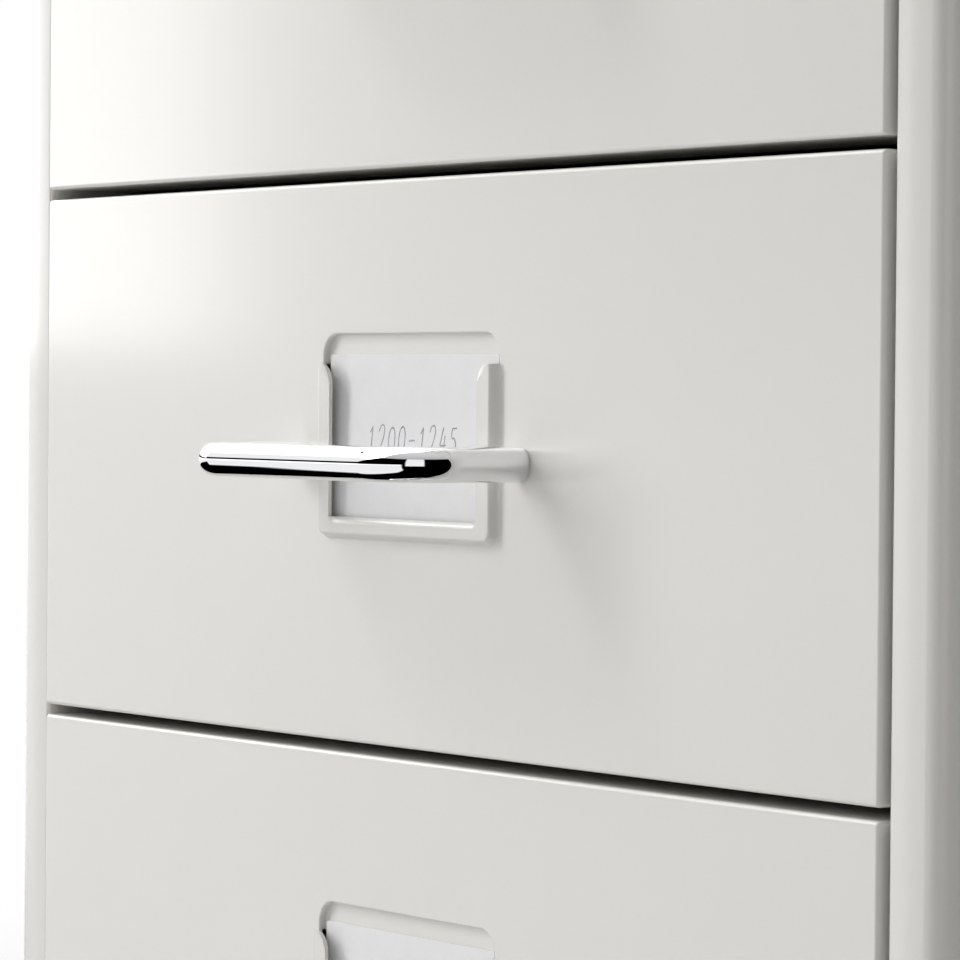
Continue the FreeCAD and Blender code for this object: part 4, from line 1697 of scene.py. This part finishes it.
@dataclass(frozen=True)
class Reflections:
    """The studio that mirrors see.

    A height is the Z of a direction, and an azimuth is in degrees from -Y towards +X.
    """

    walls: Stops = (
        (0.0, 0.02), (0.240, 0.02), (0.245, 1.0), (0.508, 1.0), (0.520, 0.0), (0.564, 0.0),
        (0.570, 1.0), (1.0, 1.0),
    )
    flags: Stops = ((0.0, 0.02), (0.20, 0.02), (0.205, 0.0), (0.79, 0.0), (0.80, 0.5), (1.0, 0.75))
    horizon: Band = (-0.05, -0.015, 0.012, 0.04)
    horizon_share: float = 0.6
    horizon_light: float = 2.0
    bright_from: Point = (0.36, 0.44)
    bright_light: float = 5.0
    seam_heights: Band = (0.530, 0.545, 0.585, 0.60)
    seam_depths: Band = (-0.26, -0.22, -0.03, 0.0)
    seam_light: float = 0.03
    above: Point = (0.55, 0.60)
    above_azimuths: Point = (-30.0, -10.0)
    flag_azimuths: Point = (-58.0, -18.0)
    flag_tops: Point = (0.13, 0.60)
    flag_blur: Point = (0.0, 0.02)
    flag_foot: Point = (0.01, 0.02)
    flag_side: Point = (-58.0, -54.0)
    window: Band = (29.854, 32.146, 57.854, 60.146)
    window_end: Point = (0.56, 0.60)
    dark_side: Band = (23.281, 26.719, 118.0, 130.0)

    def color(self, graph: Graph, x: Socket, y: Socket, z: Socket) -> Socket:
        """Colour of the studio in a direction.

        Args:
            graph: The world's graph.
            x: The direction's part along X.
            y: Its part along Y.
            z: Its part along Z.

        Returns:
            The colour.
        """
        height = graph.span(z, -1.0, 1.0)
        azimuth = graph.math("DEGREES", graph.math("ARCTAN2", x, graph.product(y, -1.0)))
        walls, flags = graph.ramp(height, self.walls), graph.ramp(height, self.flags)
        horizon = graph.product(graph.band(z, self.horizon), self.horizon_share)
        walls = graph.blend(horizon, walls, grey(self.horizon_light))
        walls = graph.blend(graph.span(z, *self.bright_from), walls, grey(self.bright_light))
        seam = graph.product(graph.band(z, self.seam_heights), graph.band(y, self.seam_depths))
        walls = graph.blend(seam, walls, grey(self.seam_light))
        above = graph.product(graph.span(z, *self.above), graph.span(azimuth, *self.above_azimuths))
        walls = graph.blend(above, walls, flags)
        flag_top = graph.span(azimuth, *self.flag_azimuths, *self.flag_tops)
        behind_flag = graph.product(
            graph.span(graph.math("SUBTRACT", flag_top, z), *self.flag_blur),
            graph.span(z, *self.flag_foot), graph.span(azimuth, *self.flag_side),
        )
        walls = graph.blend(behind_flag, walls, grey(0.0))
        level = graph.span(graph.math("ABSOLUTE", z), *self.window_end, 1.0, 0.0)
        window = graph.product(graph.band(azimuth, self.window), level)
        camera_side = graph.blend(window, flags, grey(1.0))
        return graph.blend(graph.band(azimuth, self.dark_side), walls, camera_side)


@dataclass
class Studio:
    """Floor, light and camera."""

    target: Vector
    frame_pixels: float = 960.0
    focal_pixels: float = 4454.7
    sensor: float = 36.0
    clip_start: float = 10.0 * MM
    camera_place: Place = (0.6399, -0.6205, 0.4350)
    camera_yaw: float = math.radians(55.08)
    camera_pitch: float = math.radians(1.13)
    camera_roll: float = math.radians(0.473)
    floor_radius: float = 3.2
    floor_sides: int = 96
    floor_grey: float = 0.80
    floor_roughness: float = 0.6
    fade_start: float = 0.9
    fade_end_share: float = 0.9
    mat_borders: Stops = ((0.78, 0.10), (0.45, -0.24), (-0.235, -0.59), (-0.9, -0.52))
    mat_blur: float = 0.01
    mat_end: Point = (-0.09, -0.05)
    dark_from: float = math.radians(25)
    ambient: float = 0.315
    ambient_color: Color = (1.0, 0.995, 0.98)
    ambient_slope: Place = (-0.12, -0.05, 0.20)
    ambient_least: float = 0.04
    key_way: Place = (-1.6, -1.0, 0.88)
    key_distance: float = 2.4
    key_size: Point = (0.50, 2.00)
    key_power: float = 42.3
    card_place: Place = (-0.255, -0.11, 0.502)
    card_size: Point = (0.40, 0.115)
    card_power: float = 0.465
    reflections: Reflections = Reflections()

    def build(self) -> None:
        """Sets up the whole studio."""
        self._camera()
        self._floor()
        self._sky()
        way = Vector(self.key_way).normalized()
        key_place = self.target + way * self.key_distance
        self._lamp("key_light", key_place, way, self.key_size, self.key_power, False)
        place, aside = Vector(self.card_place), Vector((-1.0, 0.0, 0.0))
        self._lamp("side_card", place, aside, self.card_size, self.card_power, True)
        bpy.context.scene.view_settings.view_transform = "Standard"

    def _camera(self) -> None:
        """Places the camera as the photograph has it."""
        data = bpy.data.cameras.new("photo_camera")
        data.sensor_width = self.sensor
        data.lens = self.sensor * self.focal_pixels / self.frame_pixels
        data.clip_start = self.clip_start
        level = Vector((*heading(self.camera_yaw), 0))
        flat = UP.cross(level)
        ahead = flat * math.cos(self.camera_pitch) - UP * math.sin(self.camera_pitch)
        upright = level.cross(ahead)
        right = level * math.cos(self.camera_roll) + upright * math.sin(self.camera_roll)
        up = upright * math.cos(self.camera_roll) - level * math.sin(self.camera_roll)
        camera = bpy.data.objects.new("photo_camera", data)
        bpy.context.scene.collection.objects.link(camera)
        turn = Matrix((right, up, -ahead)).transposed().to_4x4()
        camera.matrix_world = Matrix.Translation(self.camera_place) @ turn
        bpy.context.scene.camera = camera

    def _floor(self) -> None:
        """A plain pale floor that fades into the white background."""
        disc = bmesh.new()
        ring = arc((0.0, 0.0), self.floor_radius, 0.0, 4 * QUARTER, self.floor_sides)[:-1]
        disc.faces.new([disc.verts.new((x, y, 0)) for x, y in ring])
        mesh = bpy.data.meshes.new("floor")
        disc.to_mesh(mesh)
        disc.free()
        mesh.materials.append(self._floor_material())
        floor = bpy.data.objects.new("floor", mesh)
        bpy.context.scene.collection.objects.link(floor)
        floor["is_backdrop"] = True

    def _floor_material(self) -> Material:
        """Pale matt floor. Mirrors see a dark mat round the cabinet, and white beyond it.

        Returns:
            The material.
        """
        material = bpy.data.materials.new("pale_floor")
        material.use_nodes = True
        graph = Graph(material.node_tree)
        shader = material.node_tree.nodes["Principled BSDF"]
        shader.inputs["Base Color"].default_value = grey(self.floor_grey)
        shader.inputs["Roughness"].default_value = self.floor_roughness
        path = graph.add("ShaderNodeLightPath").outputs
        place = graph.add("ShaderNodeNewGeometry").outputs["Position"]
        length = graph.add("ShaderNodeVectorMath", {"operation": "LENGTH"}, Vector=place)
        spot = graph.add("ShaderNodeSeparateXYZ", Vector=place).outputs
        near, far, front, right = (
            graph.math("MULTIPLY_ADD", spot["X"], slope, start) for slope, start in self.mat_borders
        )
        left_border, right_border = graph.math("MAXIMUM", near, far), graph.math("MINIMUM", front, right)
        border = graph.math("MINIMUM", left_border, right_border)
        past = graph.math("SUBTRACT", border, spot["Y"])
        beside = graph.math("MULTIPLY_ADD", spot["Y"], math.tan(self.dark_from), spot["X"])
        sweep = graph.product(
            graph.span(past, -self.mat_blur, self.mat_blur), graph.span(beside, *self.mat_end, 1.0, 0.0)
        )
        white = graph.add("ShaderNodeEmission", Strength=1.0)
        graph.feed(white.inputs["Color"], graph.math("MAXIMUM", path["Is Camera Ray"], sweep))
        fade_end = self.floor_radius * self.fade_end_share
        fade = graph.span(length.outputs["Value"], self.fade_start, fade_end)
        faded = graph.product(fade, path["Is Camera Ray"])
        mix = graph.mixed_shader(graph.math("MAXIMUM", faded, path["Is Glossy Ray"]), shader, white)
        graph.feed(material.node_tree.nodes["Material Output"].inputs["Surface"], mix.outputs[0])
        return material

    def _sky(self) -> None:
        """White for the camera, soft light from above and from the left for paint, and a
        studio of bright walls and dark flags for what mirrors it."""
        world = bpy.data.worlds.new("studio")
        bpy.context.scene.world = world
        world.use_nodes = True
        world.node_tree.nodes.clear()
        graph = Graph(world.node_tree)
        way = graph.add("ShaderNodeTexCoord").outputs["Generated"]
        sides = graph.add("ShaderNodeSeparateXYZ", Vector=way).outputs
        path = graph.add("ShaderNodeLightPath").outputs
        mirrored = self.reflections.color(graph, *sides)
        soft: object = self.ambient
        for side, share in zip(sides, self.ambient_slope):
            soft = graph.math("ADD", soft, graph.product(side, share))
        soft = graph.math("MAXIMUM", soft, self.ambient_least)
        for_mirror = graph.add("ShaderNodeBackground", Color=mirrored)
        paint_color = opaque(self.ambient_color)
        for_paint = graph.add("ShaderNodeBackground", Color=paint_color, Strength=soft)
        for_camera = graph.add("ShaderNodeBackground", Color=grey(1.0), Strength=1.0)
        lit = graph.mixed_shader(path["Is Glossy Ray"], for_paint, for_mirror)
        seen = graph.mixed_shader(path["Is Camera Ray"], lit, for_camera)
        graph.add("ShaderNodeOutputWorld", Surface=seen.outputs[0])

    def _lamp(
        self, name: str, place: Vector, way: Vector, size: Point, power: float, for_mirrors: bool
    ) -> None:
        """Places a soft lamp that either lights the paint or shows in what mirrors it.

        Args:
            name: The lamp's name.
            place: Where its middle is.
            way: Direction from what it lights to the lamp.
            size: Its width and height.
            power: Its power in watts.
            for_mirrors: Whether only mirrors see it; else only matt surfaces are lit by it.
        """
        data = bpy.data.lights.new(name, "AREA")
        data.shape = "RECTANGLE"
        data.size, data.size_y = size
        data.energy = power
        lamp = bpy.data.objects.new(name, data)
        bpy.context.scene.collection.objects.link(lamp)
        lamp.location = place
        lamp.rotation_euler = way.to_track_quat("Z", "Y").to_euler()
        lamp.visible_glossy = for_mirrors
        lamp.visible_diffuse = not for_mirrors


def corners(box: tuple[Vector, Vector]) -> list[list[float]]:
    """The two corners of a box as plain numbers."""
    return [[float(v) for v in corner] for corner in box]


def main() -> None:
    """Dresses the frame, piece by piece, and sets up the studio."""
    logging.basicConfig(level=logging.INFO, format="%(name)s: %(message)s")
    cad_box = corners(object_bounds())
    maker = Maker(Finishes(SurfaceGroups()))
    Carcass(maker).build()
    Drawers(maker).build()
    Castors(maker).build()
    low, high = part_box("drawer_3_front")
    Studio(Vector((0.0, low.y, (low.z + high.z) / 2))).build()
    LOG.info("%d pieces made", maker.count)
    {"cad": cad_box, "visual": corners(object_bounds())}


if __name__ == "__main__":
    main()
